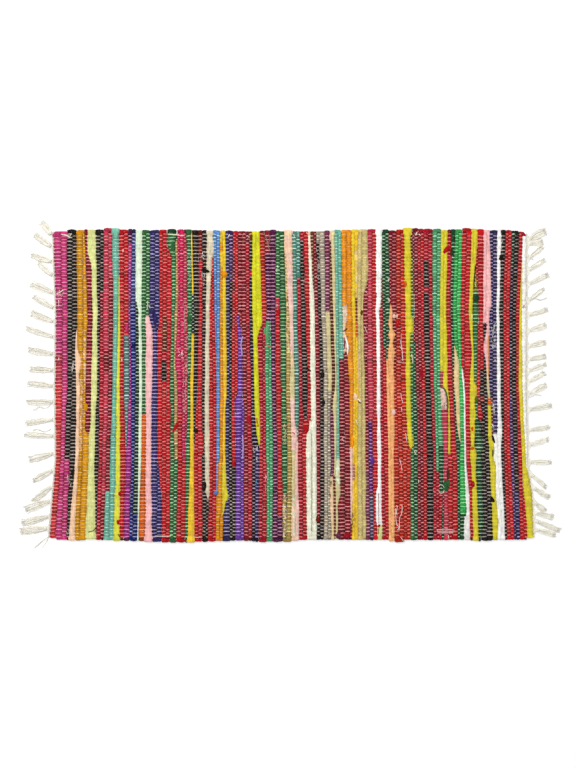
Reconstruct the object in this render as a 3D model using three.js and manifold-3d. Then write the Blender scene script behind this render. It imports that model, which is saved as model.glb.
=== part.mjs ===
// A hand-woven rag rug lying flat: rags of many colours beaten into a warp of cream yarn,
// with the warp ends knotted in small tassels along both short sides.
// Millimetres, +Z up, the rug's length along X and its width along Y, resting on z = 0.
import * as THREE from 'three';
import { mergeVertices } from 'three/addons/utils/BufferGeometryUtils.js';
import Module from 'manifold-3d';

const wasm = await Module();
wasm.setup();

// The woven body
const ribCount = 124;
const ribCrest = 6.6;
const ribValley = 4.8;
const selvedgeHeight = 3.2;
const selvedgeRound = 7;
const endHeight = 4.6;
const loopDepth = 0.9;
const ribWander = 1.1;

// Where the body ends at both short sides, from the far selvedge to the near one
const courses = [
  { y: 240, left: -443, right: 450 },
  { y: 90, left: -444, right: 450 },
  { y: -80, left: -442, right: 449.5 },
  { y: -200, left: -445, right: 452 },
];
const farCorner = { left: -448, right: 449 };
const nearCorner = { left: -455, right: 462 };

// How far both long sides reach, from the left end to the right one
const selvedges = [
  { x: -460, far: 288, near: -288 },
  { x: -430, far: 293, near: -293 },
  { x: -345, far: 298, near: -296 },
  { x: -210, far: 295.5, near: -300 },
  { x: -50, far: 293, near: -298 },
  { x: 65, far: 292, near: -292 },
  { x: 215, far: 297, near: -298 },
  { x: 300, far: 294.5, near: -293 },
  { x: 350, far: 297, near: -296 },
  { x: 420, far: 293, near: -293.5 },
  { x: 465, far: 287, near: -289 },
];

// The headings and the tassels
const partingGap = 0.3;
const headingWidth = 4;
const headingHeight = 4.2;
const strandsPerTassel = 5;
const strandWidth = 1.15;
const strandHeight = 1.6;
const waistPitch = 1.2;
const bellyPitch = 1.9;
const tipPitch = 2.1;
const gatherWidth = 12;
const gatherHeight = 2.4;
const knotReach = 7;
const knotLength = 7.5;
const knotWidth = 6.2;
const knotHeight = 5.6;
// The knot's sections along its length, as shares of its full size
const knotSections = [
  { along: -0.5, size: 0.6 },
  { along: -0.1, size: 1 },
  { along: 0.5, size: 0.65 },
];

// Each tassel: where it leaves the heading, how far its tip leans along Y and how long it is
const leftTassels = [
  { root: 284, lean: 24, reach: 18 },
  { root: 262, lean: 23, reach: 32 },
  { root: 234, lean: 13, reach: 38 },
  { root: 207, lean: 24, reach: 26 },
  { root: 175, lean: 17, reach: 40 },
  { root: 146, lean: 22, reach: 38 },
  { root: 120, lean: 17, reach: 42 },
  { root: 91, lean: 17, reach: 51 },
  { root: 59, lean: 8, reach: 47 },
  { root: 28, lean: 2, reach: 44 },
  { root: -2, lean: 6, reach: 47 },
  { root: -32, lean: 0, reach: 48 },
  { root: -65, lean: -8, reach: 51 },
  { root: -97, lean: 2, reach: 55 },
  { root: -129, lean: -13, reach: 45 },
  { root: -161, lean: -21, reach: 37 },
  { root: -192, lean: -27, reach: 35 },
  { root: -220, lean: -17, reach: 47 },
  { root: -249, lean: -13, reach: 50 },
  { root: -272, lean: -6, reach: 51 },
];
const rightTassels = [
  { root: 277, lean: 15, reach: 32 },
  { root: 241, lean: 19, reach: 27 },
  { root: 218, lean: 19, reach: 30 },
  { root: 192, lean: 17, reach: 36 },
  { root: 160, lean: 22, reach: 29 },
  { root: 133, lean: 9, reach: 34 },
  { root: 103, lean: 11, reach: 32 },
  { root: 74, lean: 6, reach: 32 },
  { root: 49, lean: 4, reach: 32 },
  { root: 27, lean: 12, reach: 32 },
  { root: 6, lean: 17, reach: 30 },
  { root: -17, lean: 17, reach: 32 },
  { root: -47, lean: 8, reach: 42 },
  { root: -85, lean: 4, reach: 38 },
  { root: -114, lean: 11, reach: 36 },
  { root: -146, lean: -2, reach: 40 },
  { root: -169, lean: -24, reach: 28 },
  { root: -194, lean: -19, reach: 30 },
  { root: -222, lean: -17, reach: 20 },
  { root: -243, lean: -8, reach: 34 },
  { root: -257, lean: -20, reach: 46 },
  { root: -274, lean: -11, reach: 37 },
];
// Two loose warp ends that trail from the near left corner
const looseEnds = [
  { root: -281, lean: -28, reach: 28 },
  { root: -283, lean: -26, reach: 13 },
];

// A value read from a table's rows by straight lines between them
function between(rows, key, at, column) {
  const sign = Math.sign(rows[1][key] - rows[0][key]);
  const last = rows.length - 1;
  if ((at - rows[0][key]) * sign <= 0) return rows[0][column];
  if ((at - rows[last][key]) * sign >= 0) return rows[last][column];
  let i = 0;
  while ((at - rows[i + 1][key]) * sign > 0) i += 1;
  const share = (at - rows[i][key]) / (rows[i + 1][key] - rows[i][key]);
  return rows[i][column] + share * (rows[i + 1][column] - rows[i][column]);
}

const farEdge = (x) => between(selvedges, 'x', x, 'far');
const nearEdge = (x) => between(selvedges, 'x', x, 'near');

// The rows of points that cross every rib: both selvedges, the round inside each, and the courses
const courseRows = courses.map((course) => ({ ...course, at: () => course.y, cover: 1 }));
const bodyRows = [
  { ...farCorner, at: farEdge, cover: 0 },
  { ...farCorner, at: (x) => farEdge(x) - selvedgeRound, cover: 0.9 },
  ...courseRows,
  { ...nearCorner, at: (x) => nearEdge(x) + selvedgeRound, cover: 0.9 },
  { ...nearCorner, at: nearEdge, cover: 0 },
];

// The body's two ends from far to near, which the headings follow. side is -1 for the left end
// and 1 for the right one.
const columnAt = (side) => (side < 0 ? 'left' : 'right');
const endRows = (side) => bodyRows.map((row) => {
  const x = row[columnAt(side)];
  return { x, y: row.at(x) };
});

function bodyGeometry() {
  const columns = ribCount * 2;
  const lastRow = bodyRows.length - 1;
  const points = [];
  bodyRows.forEach((row, r) => {
    for (let c = 0; c <= columns; c += 1) {
      const crest = c % 2;
      const inside = Math.min(1, c, columns - c);
      const span = (row.right - row.left) / columns;
      const wander = ribWander * inside * Math.sin(0.31 * c + 1.9 * r);
      const x = row.left + span * c + wander;
      const outward = r === 0 ? 1 : r === lastRow ? -1 : 0;
      const y = row.at(x) + outward * loopDepth * crest;
      const top = inside === 0 ? endHeight : ribValley + (ribCrest - ribValley) * crest;
      points.push(new THREE.Vector3(x, y, selvedgeHeight + (top - selvedgeHeight) * row.cover));
    }
  });
  const topPoint = (r, c) => r * (columns + 1) + c;
  const triangles = [];
  for (let r = 0; r < lastRow; r += 1) {
    for (let c = 0; c < columns; c += 1) {
      triangles.push(topPoint(r, c), topPoint(r + 1, c), topPoint(r + 1, c + 1));
      triangles.push(topPoint(r, c), topPoint(r + 1, c + 1), topPoint(r, c + 1));
    }
  }
  // The rim, anticlockwise seen from above, is dropped to z = 0 for the flat underside
  const rim = [];
  for (let c = 0; c < columns; c += 1) rim.push(topPoint(lastRow, c));
  for (let r = lastRow; r > 0; r -= 1) rim.push(topPoint(r, columns));
  for (let c = columns; c > 0; c -= 1) rim.push(topPoint(0, c));
  for (let r = 0; r < lastRow; r += 1) rim.push(topPoint(r, 0));
  const floorStart = points.length;
  rim.forEach((index) => points.push(new THREE.Vector3(points[index].x, points[index].y, 0)));
  rim.forEach((index, k) => {
    const next = (k + 1) % rim.length;
    triangles.push(index, floorStart + k, floorStart + next);
    triangles.push(index, floorStart + next, rim[next]);
  });
  const floorOutline = rim.map((index) => new THREE.Vector2(points[index].x, points[index].y));
  THREE.ShapeUtils.triangulateShape(floorOutline, []).forEach(([a, b, c]) => {
    triangles.push(floorStart + a, floorStart + c, floorStart + b);
  });
  const geometry = new THREE.BufferGeometry().setFromPoints(points);
  geometry.setIndex(triangles);
  return geometry;
}

// A closed tube through rings of points, each anticlockwise seen from the ring before it
function loftGeometry(rings) {
  const size = rings[0].length;
  const points = rings.flat();
  const triangles = [];
  for (let k = 0; k < rings.length - 1; k += 1) {
    for (let s = 0; s < size; s += 1) {
      const a = k * size + s;
      const b = k * size + (s + 1) % size;
      triangles.push(a, b + size, b);
      triangles.push(a, a + size, b + size);
    }
  }
  const last = (rings.length - 1) * size;
  for (let s = 1; s < size - 1; s += 1) {
    triangles.push(0, s, s + 1);
    triangles.push(last, last + s + 1, last + s);
  }
  const geometry = new THREE.BufferGeometry().setFromPoints(points);
  geometry.setIndex(triangles);
  return geometry;
}

function solidOf(geometry) {
  const bare = geometry.clone();
  bare.deleteAttribute('normal');
  bare.deleteAttribute('uv');
  const merged = mergeVertices(bare, 1e-4);
  const vertProperties = new Float32Array(merged.getAttribute('position').array);
  const triVerts = new Uint32Array(merged.getIndex().array);
  return new wasm.Manifold(new wasm.Mesh({ numProp: 3, vertProperties, triVerts }));
}

function geometryOf(solid) {
  const mesh = solid.getMesh();
  const geometry = new THREE.BufferGeometry();
  geometry.setAttribute('position', new THREE.BufferAttribute(mesh.vertProperties, 3));
  geometry.setIndex(new THREE.BufferAttribute(mesh.triVerts, 1));
  return geometry;
}

// The heading: a strip of warp and binding yarn along one end, a little apart from the body
function headingSolid(side) {
  const rings = endRows(side).map((row) => {
    const inner = row.x + side * partingGap;
    const outer = inner + side * headingWidth;
    const low = Math.min(inner, outer);
    const high = Math.max(inner, outer);
    return [
      new THREE.Vector3(low, row.y, 0),
      new THREE.Vector3(low, row.y, headingHeight),
      new THREE.Vector3(high, row.y, headingHeight),
      new THREE.Vector3(high, row.y, 0),
    ];
  });
  return solidOf(loftGeometry(rings));
}

// One strand: a three-sided yarn with its flat side down, through the given places
function strandSolid(places) {
  const lastPlace = places.length - 1;
  const rings = places.map((place, k) => {
    const before = places[Math.max(k - 1, 0)];
    const after = places[Math.min(k + 1, lastPlace)];
    const ahead = after.clone().sub(before).normalize();
    const across = new THREE.Vector2(-ahead.y, ahead.x).multiplyScalar(strandWidth / 2);
    const thin = k === lastPlace ? 0.6 : 1;
    return [
      new THREE.Vector3(place.x - across.x * thin, place.y - across.y * thin, 0),
      new THREE.Vector3(place.x, place.y, strandHeight * thin),
      new THREE.Vector3(place.x + across.x * thin, place.y + across.y * thin, 0),
    ];
  });
  return solidOf(loftGeometry(rings));
}

function headingOuter(side, y) {
  return between(endRows(side), 'y', y, 'x') + side * (partingGap + headingWidth);
}

// One tassel: warp ends that gather from the heading into a knot, and strands that leave it
function tasselSolids(side, tassel, seed) {
  const root = new THREE.Vector2(headingOuter(side, tassel.root), tassel.root);
  const tip = new THREE.Vector2(root.x + side * tassel.reach, tassel.root + tassel.lean);
  const ahead = tip.clone().sub(root).normalize();
  const across = new THREE.Vector2(-ahead.y, ahead.x);
  const length = root.distanceTo(tip);
  const middle = (strandsPerTassel - 1) / 2;
  const along = (distance, aside) => (
    root.clone().addScaledVector(ahead, distance).addScaledVector(across, aside)
  );

  const gather = loftGeometry([
    lumpRing(new THREE.Vector2(root.x - side * headingWidth / 2, root.y),
      new THREE.Vector2(0, side), gatherWidth / 2, gatherHeight),
    lumpRing(along(knotReach, 0), across, knotWidth * 0.35, gatherHeight),
  ]);
  const knot = loftGeometry(knotSections.map((section) => (
    lumpRing(along(knotReach + section.along * knotLength, 0), across,
      section.size * knotWidth / 2, section.size * knotHeight)
  )));
  const solids = [solidOf(gather), solidOf(knot)];
  for (let k = 0; k < strandsPerTassel; k += 1) {
    const place = k - middle;
    const sway = Math.sin(2.3 * seed + 1.7 * k);
    const reach = length * (0.97 - 0.06 * Math.abs(sway));
    solids.push(strandSolid([
      along(knotReach, place * waistPitch),
      along((knotReach + reach) / 2, place * bellyPitch + 0.3 * sway),
      along(reach, place * tipPitch + 0.4 * sway),
    ]));
  }
  return solids;
}

// A six-sided section of a lump that lies on the floor, across the way it runs
function lumpRing(place, across, halfWidth, height) {
  const corner = (aside, up) => new THREE.Vector3(
    place.x + across.x * aside * halfWidth,
    place.y + across.y * aside * halfWidth,
    up * height,
  );
  return [
    corner(-0.75, 0),
    corner(-1, 0.45),
    corner(-0.55, 1),
    corner(0.55, 1),
    corner(1, 0.45),
    corner(0.75, 0),
  ];
}

function looseEndSolid(side, end) {
  const root = new THREE.Vector2(headingOuter(side, end.root), end.root);
  const bend = new THREE.Vector2(root.x + side * end.reach * 0.5, end.root + end.lean * 0.35);
  const tip = new THREE.Vector2(root.x + side * end.reach, end.root + end.lean);
  const start = new THREE.Vector2(root.x - side * headingWidth / 2, end.root);
  return strandSolid([start, bend, tip]);
}

function fringeGeometry(side, tassels, ends) {
  let fringe = headingSolid(side);
  tassels.forEach((tassel, seed) => {
    tasselSolids(side, tassel, seed).forEach((solid) => {
      fringe = fringe.add(solid);
    });
  });
  ends.forEach((end) => {
    fringe = fringe.add(looseEndSolid(side, end));
  });
  return geometryOf(fringe);
}

const ragCloth = new THREE.MeshStandardMaterial({ color: 0xa03440, roughness: 0.95, metalness: 0 });
const warpYarn = new THREE.MeshStandardMaterial({ color: 0xeee4d0, roughness: 0.92, metalness: 0 });

function named(name, geometry, material) {
  const mesh = new THREE.Mesh(geometry, material);
  mesh.name = name;
  return mesh;
}

const rug = new THREE.Group();
rug.add(named('rug_body', bodyGeometry(), ragCloth));
rug.add(named('fringe_left', fringeGeometry(-1, leftTassels, looseEnds), warpYarn));
rug.add(named('fringe_right', fringeGeometry(1, rightTassels, []), warpYarn));

// The origin stands under the middle of the whole rug
const middle = new THREE.Box3().setFromObject(rug).getCenter(new THREE.Vector3());
rug.position.set(-middle.x, -middle.y, 0);

export default rug;
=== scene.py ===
import math

import bpy
import numpy as np
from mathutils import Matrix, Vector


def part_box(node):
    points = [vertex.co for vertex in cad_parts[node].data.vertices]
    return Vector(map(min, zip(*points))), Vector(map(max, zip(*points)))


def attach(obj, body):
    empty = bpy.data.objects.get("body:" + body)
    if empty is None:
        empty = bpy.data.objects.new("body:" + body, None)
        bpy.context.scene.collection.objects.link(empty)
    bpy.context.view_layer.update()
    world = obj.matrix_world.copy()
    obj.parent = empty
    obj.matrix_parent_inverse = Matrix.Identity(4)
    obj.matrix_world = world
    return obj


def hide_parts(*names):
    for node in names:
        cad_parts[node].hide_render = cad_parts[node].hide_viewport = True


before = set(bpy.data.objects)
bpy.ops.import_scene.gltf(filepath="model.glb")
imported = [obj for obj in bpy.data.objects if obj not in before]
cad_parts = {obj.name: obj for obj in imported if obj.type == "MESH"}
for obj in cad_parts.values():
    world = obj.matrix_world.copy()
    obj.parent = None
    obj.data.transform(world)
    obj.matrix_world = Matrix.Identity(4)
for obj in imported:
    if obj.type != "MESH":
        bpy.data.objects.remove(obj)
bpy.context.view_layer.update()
scene = bpy.context.scene
scene.view_settings.view_transform = "Standard"  # dyed cotton keeps its full colour
rng = np.random.default_rng(60)
mm = 0.001

# Places below are in mm on the rug's own chart: X along its length, Y towards the far selvedge.
# The chart is laid on the frame by the body's left end and far side.
chart = dict(leftEnd=-455.0, farSide=298.9)
bodyLow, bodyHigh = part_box("rug_body")
chartShift = (bodyLow[0] / mm - chart["leftEnd"], bodyHigh[1] / mm - chart["farSide"])
print("chart laid on the frame, shifted by", [round(s, 2) for s in chartShift])


def linearOf(hexColour):
    parts = [int(hexColour[i:i + 2], 16) / 255 for i in (0, 2, 4)]
    return np.array([c / 12.92 if c <= 0.04045 else ((c + 0.055) / 1.055) ** 2.4 for c in parts])


# Dyed cotton offcuts
dyes = {
    "magenta": "b43a6c", "fuchsia": "8e2c74", "raspberry": "be2e54", "rose": "b03a4c",
    "coral": "c43a3e", "scarlet": "ac262a", "crimson": "9c222e", "brick": "a42b21",
    "maroon": "721a24", "darkRed": "6e1a10", "dustyRose": "b8785a", "blush": "f2b0bc",
    "pink": "fbc0c0", "palePink": "f2c8bc", "peach": "f4ccaa", "apricot": "fdb980",
    "orange": "ee9838", "burntOrange": "d0602a", "amber": "d48a26", "mustard": "cd8e22",
    "gold": "efc648", "sunflower": "e6c842", "yellow": "ddce46", "springYellow": "d8d63c",
    "lime": "e0dc50", "lemon": "d8ca98", "paleLemon": "dee098", "ivory": "f6ecd8",
    "white": "fffcf6", "oat": "dcd0b4", "beige": "e8cc98", "khaki": "cbb87c", "tan": "ac865a",
    "sand": "9a8048", "olive": "545c20", "leafGreen": "8e9e46", "greenIvory": "f0f0da",
    "paleMint": "e0f0d4", "brightGreen": "3aa052", "sage": "5f9a6a", "seaGreen": "4a9064",
    "forest": "2c5c34", "darkGreen": "1b3e26", "blackGreen": "18261e", "teal": "70b09a",
    "deepTeal": "4a7e70", "slateTeal": "4e6e6c", "sky": "6fb6e0", "cornflower": "5a86c2",
    "periwinkle": "8f92cc", "royal": "14225c", "petrol": "2c3460", "navyBlue": "2c2658",
    "navy": "2a2348", "slate": "463c58", "indigo": "38244e", "midnight": "18101e",
    "lilac": "b9a2d2", "violet": "5e3688", "blueViolet": "501e62", "purple": "461438",
    "plum": "662a44", "brown": "6c3618", "darkBrown": "542c18", "grey": "988c7c",
    "black": "181210",
}
# Unbleached yarn: inside the weave, where it shows between the rags, and in the fringe
cream = linearOf("f3ebda")
dashCream = linearOf("f2ebe2")
fringeCream = linearOf("efebde")

# The rags in the order they were beaten in, from the left end to the right. Each row gives the
# rag's right edge at the five stations below, its colours from the far selvedge to the near one,
# each with the Y where it ends, and any further {Y: X} its edge passes through. An edge that
# repeats the one before it is a rag that has run out.
stations = (280, 140, 0, -140, -280)
leftEdge = (-447, -442, -443.5, -442, -454)
rags = [
    ((-433, -431, -431, -434, -443), "magenta 60, rose 0, coral"),
    ((-422, -421, -421, -427, -431), "magenta"),
    ((-412, -412, -412, -417, -422), "black -140, magenta"),
    ((-404, -402, -404.5, -406, -418), "black", {110: -403, 90: -405, 60: -406, 40: -406, 20: -405,
      -20: -404}),
    ((-404, -402, -397, -400, -407), "peach", {80: -402, 65: -401, 58: -398.5, 50: -396, 40: -396,
      30: -397.5, 20: -399, 10: -399}),
    ((-391.5, -391, -391, -393, -398), "mustard 8, mustard+peach -125, mustard"),
    ((-388, -383, -386, -380.5, -386), "mustard 90, mustard+peach 0, mustard", {-50: -386.5,
      -86: -386.5, -92: -382, -97: -380}),
    ((-383, -373, -376, -380.5, -386), "maroon", {250: -382, 235: -377, 220: -375, -40: -376.5,
      -75: -376.5, -88: -378, -97: -380.2}),
    ((-367, -364, -365, -370, -368), "paleLemon"),
    ((-358, -359, -360, -362, -366), "black"),
    ((-352, -353, -352, -355, -358), "black 175, maroon 120, crimson"),
    ((-343, -342, -343, -347, -352), "rose 62, maroon 25, rose -205, maroon"),
    ((-336, -334, -336, -340, -342), "rose 205, maroon -200, teal"),
    ((-323, -324, -327.5, -328.7, -333), "teal"),
    ((-323, -321, -321.5, -321, -322), "lime"),
    ((-313, -313, -314, -310, -314), "scarlet"),
    ((-305, -305, -303, -310, -314), "scarlet 95, slateTeal"),
    ((-298, -302, -299.5, -299.5, -303), "purple 268, magenta 232, fuchsia"),
    ((-291, -292, -291.5, -294, -297), "petrol 150, royal"),
    ((-291, -286, -285, -286.5, -288), "blackGreen -245, royal", {162: -291}),
    ((-279, -280, -279, -281, -286), "paleMint"),
    ((-271, -272, -272.5, -272, -273), "forest -55, burntOrange"),
    ((-263.5, -266, -261, -261.5, -260.5), "forest 131, pink", {129: -265.5, 118: -264, 110: -261.5,
      104: -259.5, 76: -258.5, 19: -260.5}),
    ((-254, -255, -249.5, -250, -251), "navyBlue", {115: -254, 100: -250, 60: -249.8}),
    ((-246, -246, -249.5, -250, -242), "navyBlue", {115: -247, 100: -249.5, -152: -248, -190: -245,
      -209: -242.5, -228: -241.7}),
    ((-240, -240, -241.5, -241, -242), "scarlet"),
    ((-232, -232, -233, -233, -234), "scarlet 132, darkBrown 62, crimson 46, black 7, scarlet"),
    ((-232, -223, -226, -225, -227), "scarlet", {268: -231.8, 258: -229, 250: -226, 243: -222,
      236: -222.5}),
    ((-214, -217, -219, -218, -220), "forest", {270: -216, 262: -216.5, 247: -215, 235: -214.5,
      220: -215.3, 180: -215.5, 160: -216, 100: -217.5, 60: -218, 45: -219.5, 20: -219.5}),
    ((-212, -211, -212, -211, -214), "forest 275, tan -140, forest", {262: -211.3, 240: -211.5,
      220: -211, 180: -210.5, 100: -212.5, 85: -214, 65: -214.5, 50: -216.3, 35: -216, 20: -213.5}),
    ((-208, -208, -203, -203, -205), "raspberry -55, scarlet"),
    ((-200, -200, -198, -196, -197.5), "raspberry -145, scarlet"),
    ((-195, -193, -192, -196, -197.5), "rose"),
    ((-186, -184, -187, -188, -192.5), "forest"),
    ((-184, -180, -182, -181, -180), "gold 172, blackGreen 98, gold", {60: -181, 30: -181.5}),
    ((-172, -171, -174, -181, -180), "black"),
    ((-172, -171, -174, -173, -172.5), "scarlet"),
    ((-164.5, -164.5, -165, -165.5, -164), "darkRed 235, scarlet", {-85: -165, -100: -162, -120: -162,
      -135: -165}),
    ((-155.5, -158, -160, -160, -159), "black", {-180: -159.6, -190: -157.3, -199.5: -159,
      -209: -156.8, -217: -154.9, -222: -156.5}),
    ((-145, -151, -152, -151, -154), "oat -218, black", {270: -143, 248: -142.8, 243: -147,
      -190: -151, -209: -151, -218: -153.6, -224: -152.5}),
    ((-145, -147, -144, -144, -146), "scarlet", {270: -143, 248: -142.8, 243: -146}),
    ((-145, -141.5, -138, -138, -139), "scarlet", {270: -142.8, 248: -142.6, 243: -143}),
    ((-138, -137, -138, -138, -139), "cornflower"),
    ((-131, -131.5, -131, -131.5, -139), "cornflower -150, periwinkle", {-150: -134.5, -196: -134.9,
      -212: -137.5, -222: -139}),
    ((-126, -126, -125, -126, -132), "sunflower 270, amber 255, gold 222, amber", {-152: -127.3,
      -209: -127, -240: -126, -252: -131.5}),
    ((-121, -119.5, -118, -120, -125), "sunflower 100, gold -150, yellow -245, amber", {-60: -120.8,
      -120: -121, -190: -119, -207: -115.9, -213: -114, -218.5: -117.8, -222: -119.7, -237: -122,
      -247: -125}),
    ((-113.5, -112.5, -113, -114, -112), "navy"),
    ((-106, -108, -109, -109, -107), "indigo 195, black"),
    ((-101.5, -102.5, -102.5, -101, -102), "scarlet 240, maroon 178, scarlet -155, black", {
      -30: -103.5, -100: -102.5}),
    ((-97, -97, -97, -101, -102), "scarlet", {133: -99.8, 110: -98, 85: -96.5, -19: -98.8, -30: -103.2}),
    ((-90, -90, -88, -91, -91.5), "maroon 133, violet", {145: -90, 133: -95, 110: -92, 85: -88.5}),
    ((-90, -90, -88, -85.5, -85.5), "maroon 100, violet", {-28: -87.3, -50: -84.5}),
    ((-82, -81.5, -80.5, -78, -77), "maroon"),
    ((-76, -75, -72.5, -70, -70), "maroon 268, crimson"),
    ((-70, -69.5, -66, -64, -64), "brown 275, black 215, crimson 207, midnight", {-57: -64,
      -76: -62.7, -95: -60.4, -110: -58, -120: -56, -124: -63}),
    ((-62.5, -61.5, -57.5, -57, -58), "springYellow -121, navy", {-57: -56, -76: -55.5, -95: -54.9,
      -110: -55, -120: -55.9}),
    ((-56, -52, -57.5, -57, -58), "springYellow", {123: -51, 114: -52.5, 104: -55.5, 95: -58.5,
      88: -60.5}),
    ((-56, -52, -49, -49.5, -50.5), "crimson", {123: -51, 104: -50}),
    ((-46, -43, -45, -42.5, -42.5), "brick 130, crimson", {60: -45.5, 30: -46.5}),
    ((-36, -35, -38.5, -36.5, -37), "maroon 250, purple 122, seaGreen"),
    ((-36, -35, -33, -30.5, -31.5), "seaGreen"),
    ((-25.5, -26.5, -25, -21.5, -22), "purple"),
    ((-17.5, -17.5, -15.5, -13, -12), "forest 165, rose 146, scarlet -250, purple"),
    ((-9.5, -5.5, -5.5, -3, -5), "forest -208, sand+ivory"),
    ((-8, 0, 1.5, 5, 5), "peach 250, sand+beige 60, sand", {85: 2, 28: 3}),
    ((6, 8, 10.5, 11, 12), "peach+palePink 220, palePink 60, peach+lemon 35, lemon -26, palePink -125, "
     "lemon -215, peach+paleMint", {-67: 11, -80: 12.9, -91: 14.8, -103: 16.2, -110: 14}),
    ((14, 15.5, 19.5, 17, 19), "deepTeal -107, palePink"),
    ((21, 22.5, 25, 25.5, 27), "deepTeal 203, crimson", {-28: 25.5, -47: 27.6, -64: 29.5, -70: 26}),
    ((27, 31.5, 35.5, 33, 34), "crimson 273, black -66, scarlet", {-28: 35, -47: 34.2, -66: 33.5,
      -72: 40, -89: 36, -104: 33.2, -123: 31.3}),
    ((36.5, 39.5, 41.5, 43, 43.5), "scarlet -69, greenIvory"),
    ((41, 48.5, 50.5, 52, 52.5), "ivory+peach 240, greenIvory"),
    ((46.5, 48.5, 50.5, 52, 52.5), "darkBrown"),
    ((52, 56, 59, 60, 59.5), "maroon -260, black"),
    ((58, 61.5, 65.5, 67, 66), "grey 272, black"),
    ((68, 69.5, 74, 73.5, 74), "grey"),
    ((77, 77.5, 81.5, 79.5, 81), "plum 140, lemon -12, grey", {19: 82, -19: 80.5, -28: 79, -50: 79,
      -120: 78.5, -170: 78.2, -185: 77.6, -215: 77.8}),
    ((80, 84, 87.5, 86.5, 85.3), "peach 275, darkBrown -50, plum -176, peach+lemon -260, beige", {
      19: 88, -12: 86.5, -19: 85, -28: 83.6, -47: 83, -58: 84.5, -100: 85.8, -165: 85.8, -176: 84,
      -215: 85}),
    ((87, 89, 90.5, 90, 88.8), "lemon -172, darkBrown", {-120: 90.3, -165: 88.8}),
    ((93, 93.5, 96, 96.3, 93), "teal -142, paleMint+lemon -190, lemon", {-120: 96, -190: 97.5,
      -209: 99, -214: 96, -230: 93.2, -250: 94}),
    ((99.5, 102, 105.5, 106, 107), "teal 50, maroon"),
    ((109.5, 110.5, 114.5, 116, 117), "orange 150, peach 90, peach+maroon 57, maroon", {150: 109.3,
      123: 108.3, 104.5: 106.8, 85.5: 110.2, 70: 112.7, 57: 110.8}),
    ((118.5, 120.5, 123, 121, 120), "orange -120, palePink -262, crimson"),
    ((124.5, 126.5, 127.5, 125.5, 125.5), "sunflower 150, gold -150, dustyRose -180, gold"),
    ((131, 130, 132.5, 130, 131.5), "gold 257, beige+gold 165, brown 120, burntOrange 90, gold"),
    ((139, 137, 138, 139, 140), "khaki"),
    ((149, 141, 144.5, 146, 147), "khaki", {220: 150.5, 190: 148, 172: 143}),
    ((149, 149.5, 150, 151.5, 154), "maroon -160, plum", {220: 151, 190: 150, -68: 150.8}),
    ((157.5, 158, 161, 158.5, 161.5), "rose -68, blueViolet -200, plum -212, slate", {-60: 161,
      -70: 158.5}),
    ((165.5, 165.5, 167, 168, 168), "scarlet", {-152: 168.7, -195: 168.5, -201: 165.5, -258: 165.3,
      -266: 168}),
    ((176, 172, 173.5, 175, 177), "white -266, paleLemon", {165: 175, 150: 174}),
    ((176, 178, 179, 181, 183), "crimson"),
    ((183, 183.5, 185.5, 188.5, 189.5), "darkGreen 70, darkRed 50, scarlet"),
    ((189.5, 190, 192, 194, 194.5), "darkGreen 46, apricot", {153: 191.6, 135: 190.6, 115: 189.2,
      107: 191, 95: 188.5, 85: 191.2, 72: 189.2, 62: 187.8, 55: 187.3}),
    ((196, 197, 200, 200, 200.5), "maroon 153, apricot", {153: 194, 145: 195.9, 135: 196.8,
      120: 196.8, 115: 197.8, 107: 195.9, 100: 200.6, 95: 201.6, 90: 200, 80: 196.8, 72: 198.7,
      62: 202, 55: 199.2, 40: 199.2}),
    ((204, 204, 204.5, 208.5, 210), "maroon 105, darkRed 20, brick"),
    ((212.5, 212, 213, 217, 219), "brick"),
    ((218.5, 221, 222, 224, 224.5), "brick", {-76: 223.8, -95: 225.7, -104: 227, -114: 227.5,
      -120: 229.5, -125: 224.2}),
    ((231, 231.5, 230.5, 231, 231), "yellow -120, brick", {150: 231.9, 130: 233.8, 115: 235,
      103: 235.5, 99: 230.6, 85: 230.6, -76: 232.8, -95: 233.7, -114: 235.4, -122: 233, -128: 231}),
    ((234.5, 237.5, 236, 237.5, 238.5), "darkBrown 240, olive 145, forest 127, leafGreen 98, "
     "forest 92, olive 80, forest -95, leafGreen -118, forest"),
    ((238, 238.5, 242, 245, 244.5), "maroon 85, darkGreen"),
    ((245, 245, 247.5, 250, 251), "maroon"),
    ((250.5, 251, 252.5, 256, 256.5), "crimson 95, maroon"),
    ((256, 256, 258.5, 262.5, 262), "scarlet"),
    ((264.5, 266.5, 269.5, 274, 275), "crimson 237, black 187, crimson 176, black"),
    ((272.5, 273, 275.5, 280, 280), "crimson"),
    ((281.5, 280, 281, 284.5, 286), "seaGreen -165, crimson"),
    ((289, 287, 287.5, 294, 290.5), "seaGreen -112, darkGreen -205, crimson"),
    ((289, 287, 287.5, 294, 294.5), "darkGreen"),
    ((295, 293, 293.3, 302, 303), "yellow 27, rose -5, palePink -46, rose", {-9.5: 296.4, -28: 300.6,
      -47: 302.5, -76: 302.5, -114: 303}),
    ((301.5, 298.5, 302.2, 310, 311.5), "yellow -130, scarlet", {-19: 303.6, -38: 305.5, -76: 306.3,
      -114: 306.9, -129: 306.5, -136: 309.5}),
    ((308, 306.5, 311.5, 319, 321), "scarlet"),
    ((315.5, 311, 313.8, 324, 325), "darkGreen", {76: 313.8, 50: 313.9, 19: 313.5, -19: 315.4,
      -38: 317.3, -57: 317.5, -76: 318.8, -95: 322, -104: 324, -110: 325.5}),
    ((315.5, 311, 323.2, 324, 325), "beige", {76: 313.8, 66: 317.5, 50: 321, 38: 323, 19: 323.1,
      -38: 324.5, -76: 324.9, -95: 325.6, -108: 326.2}),
    ((322.5, 318.5, 323.2, 324, 325), "brightGreen", {76: 321.5, 50: 322.5, 38: 323.2, 19: 323.1,
      -38: 324.5, -76: 324.9, -95: 325.6, -108: 326.2}),
    ((329, 326, 330.2, 333, 332.5), "brightGreen -247, darkGreen", {38: 327.5, 19: 328.5, -19: 331.3,
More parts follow.
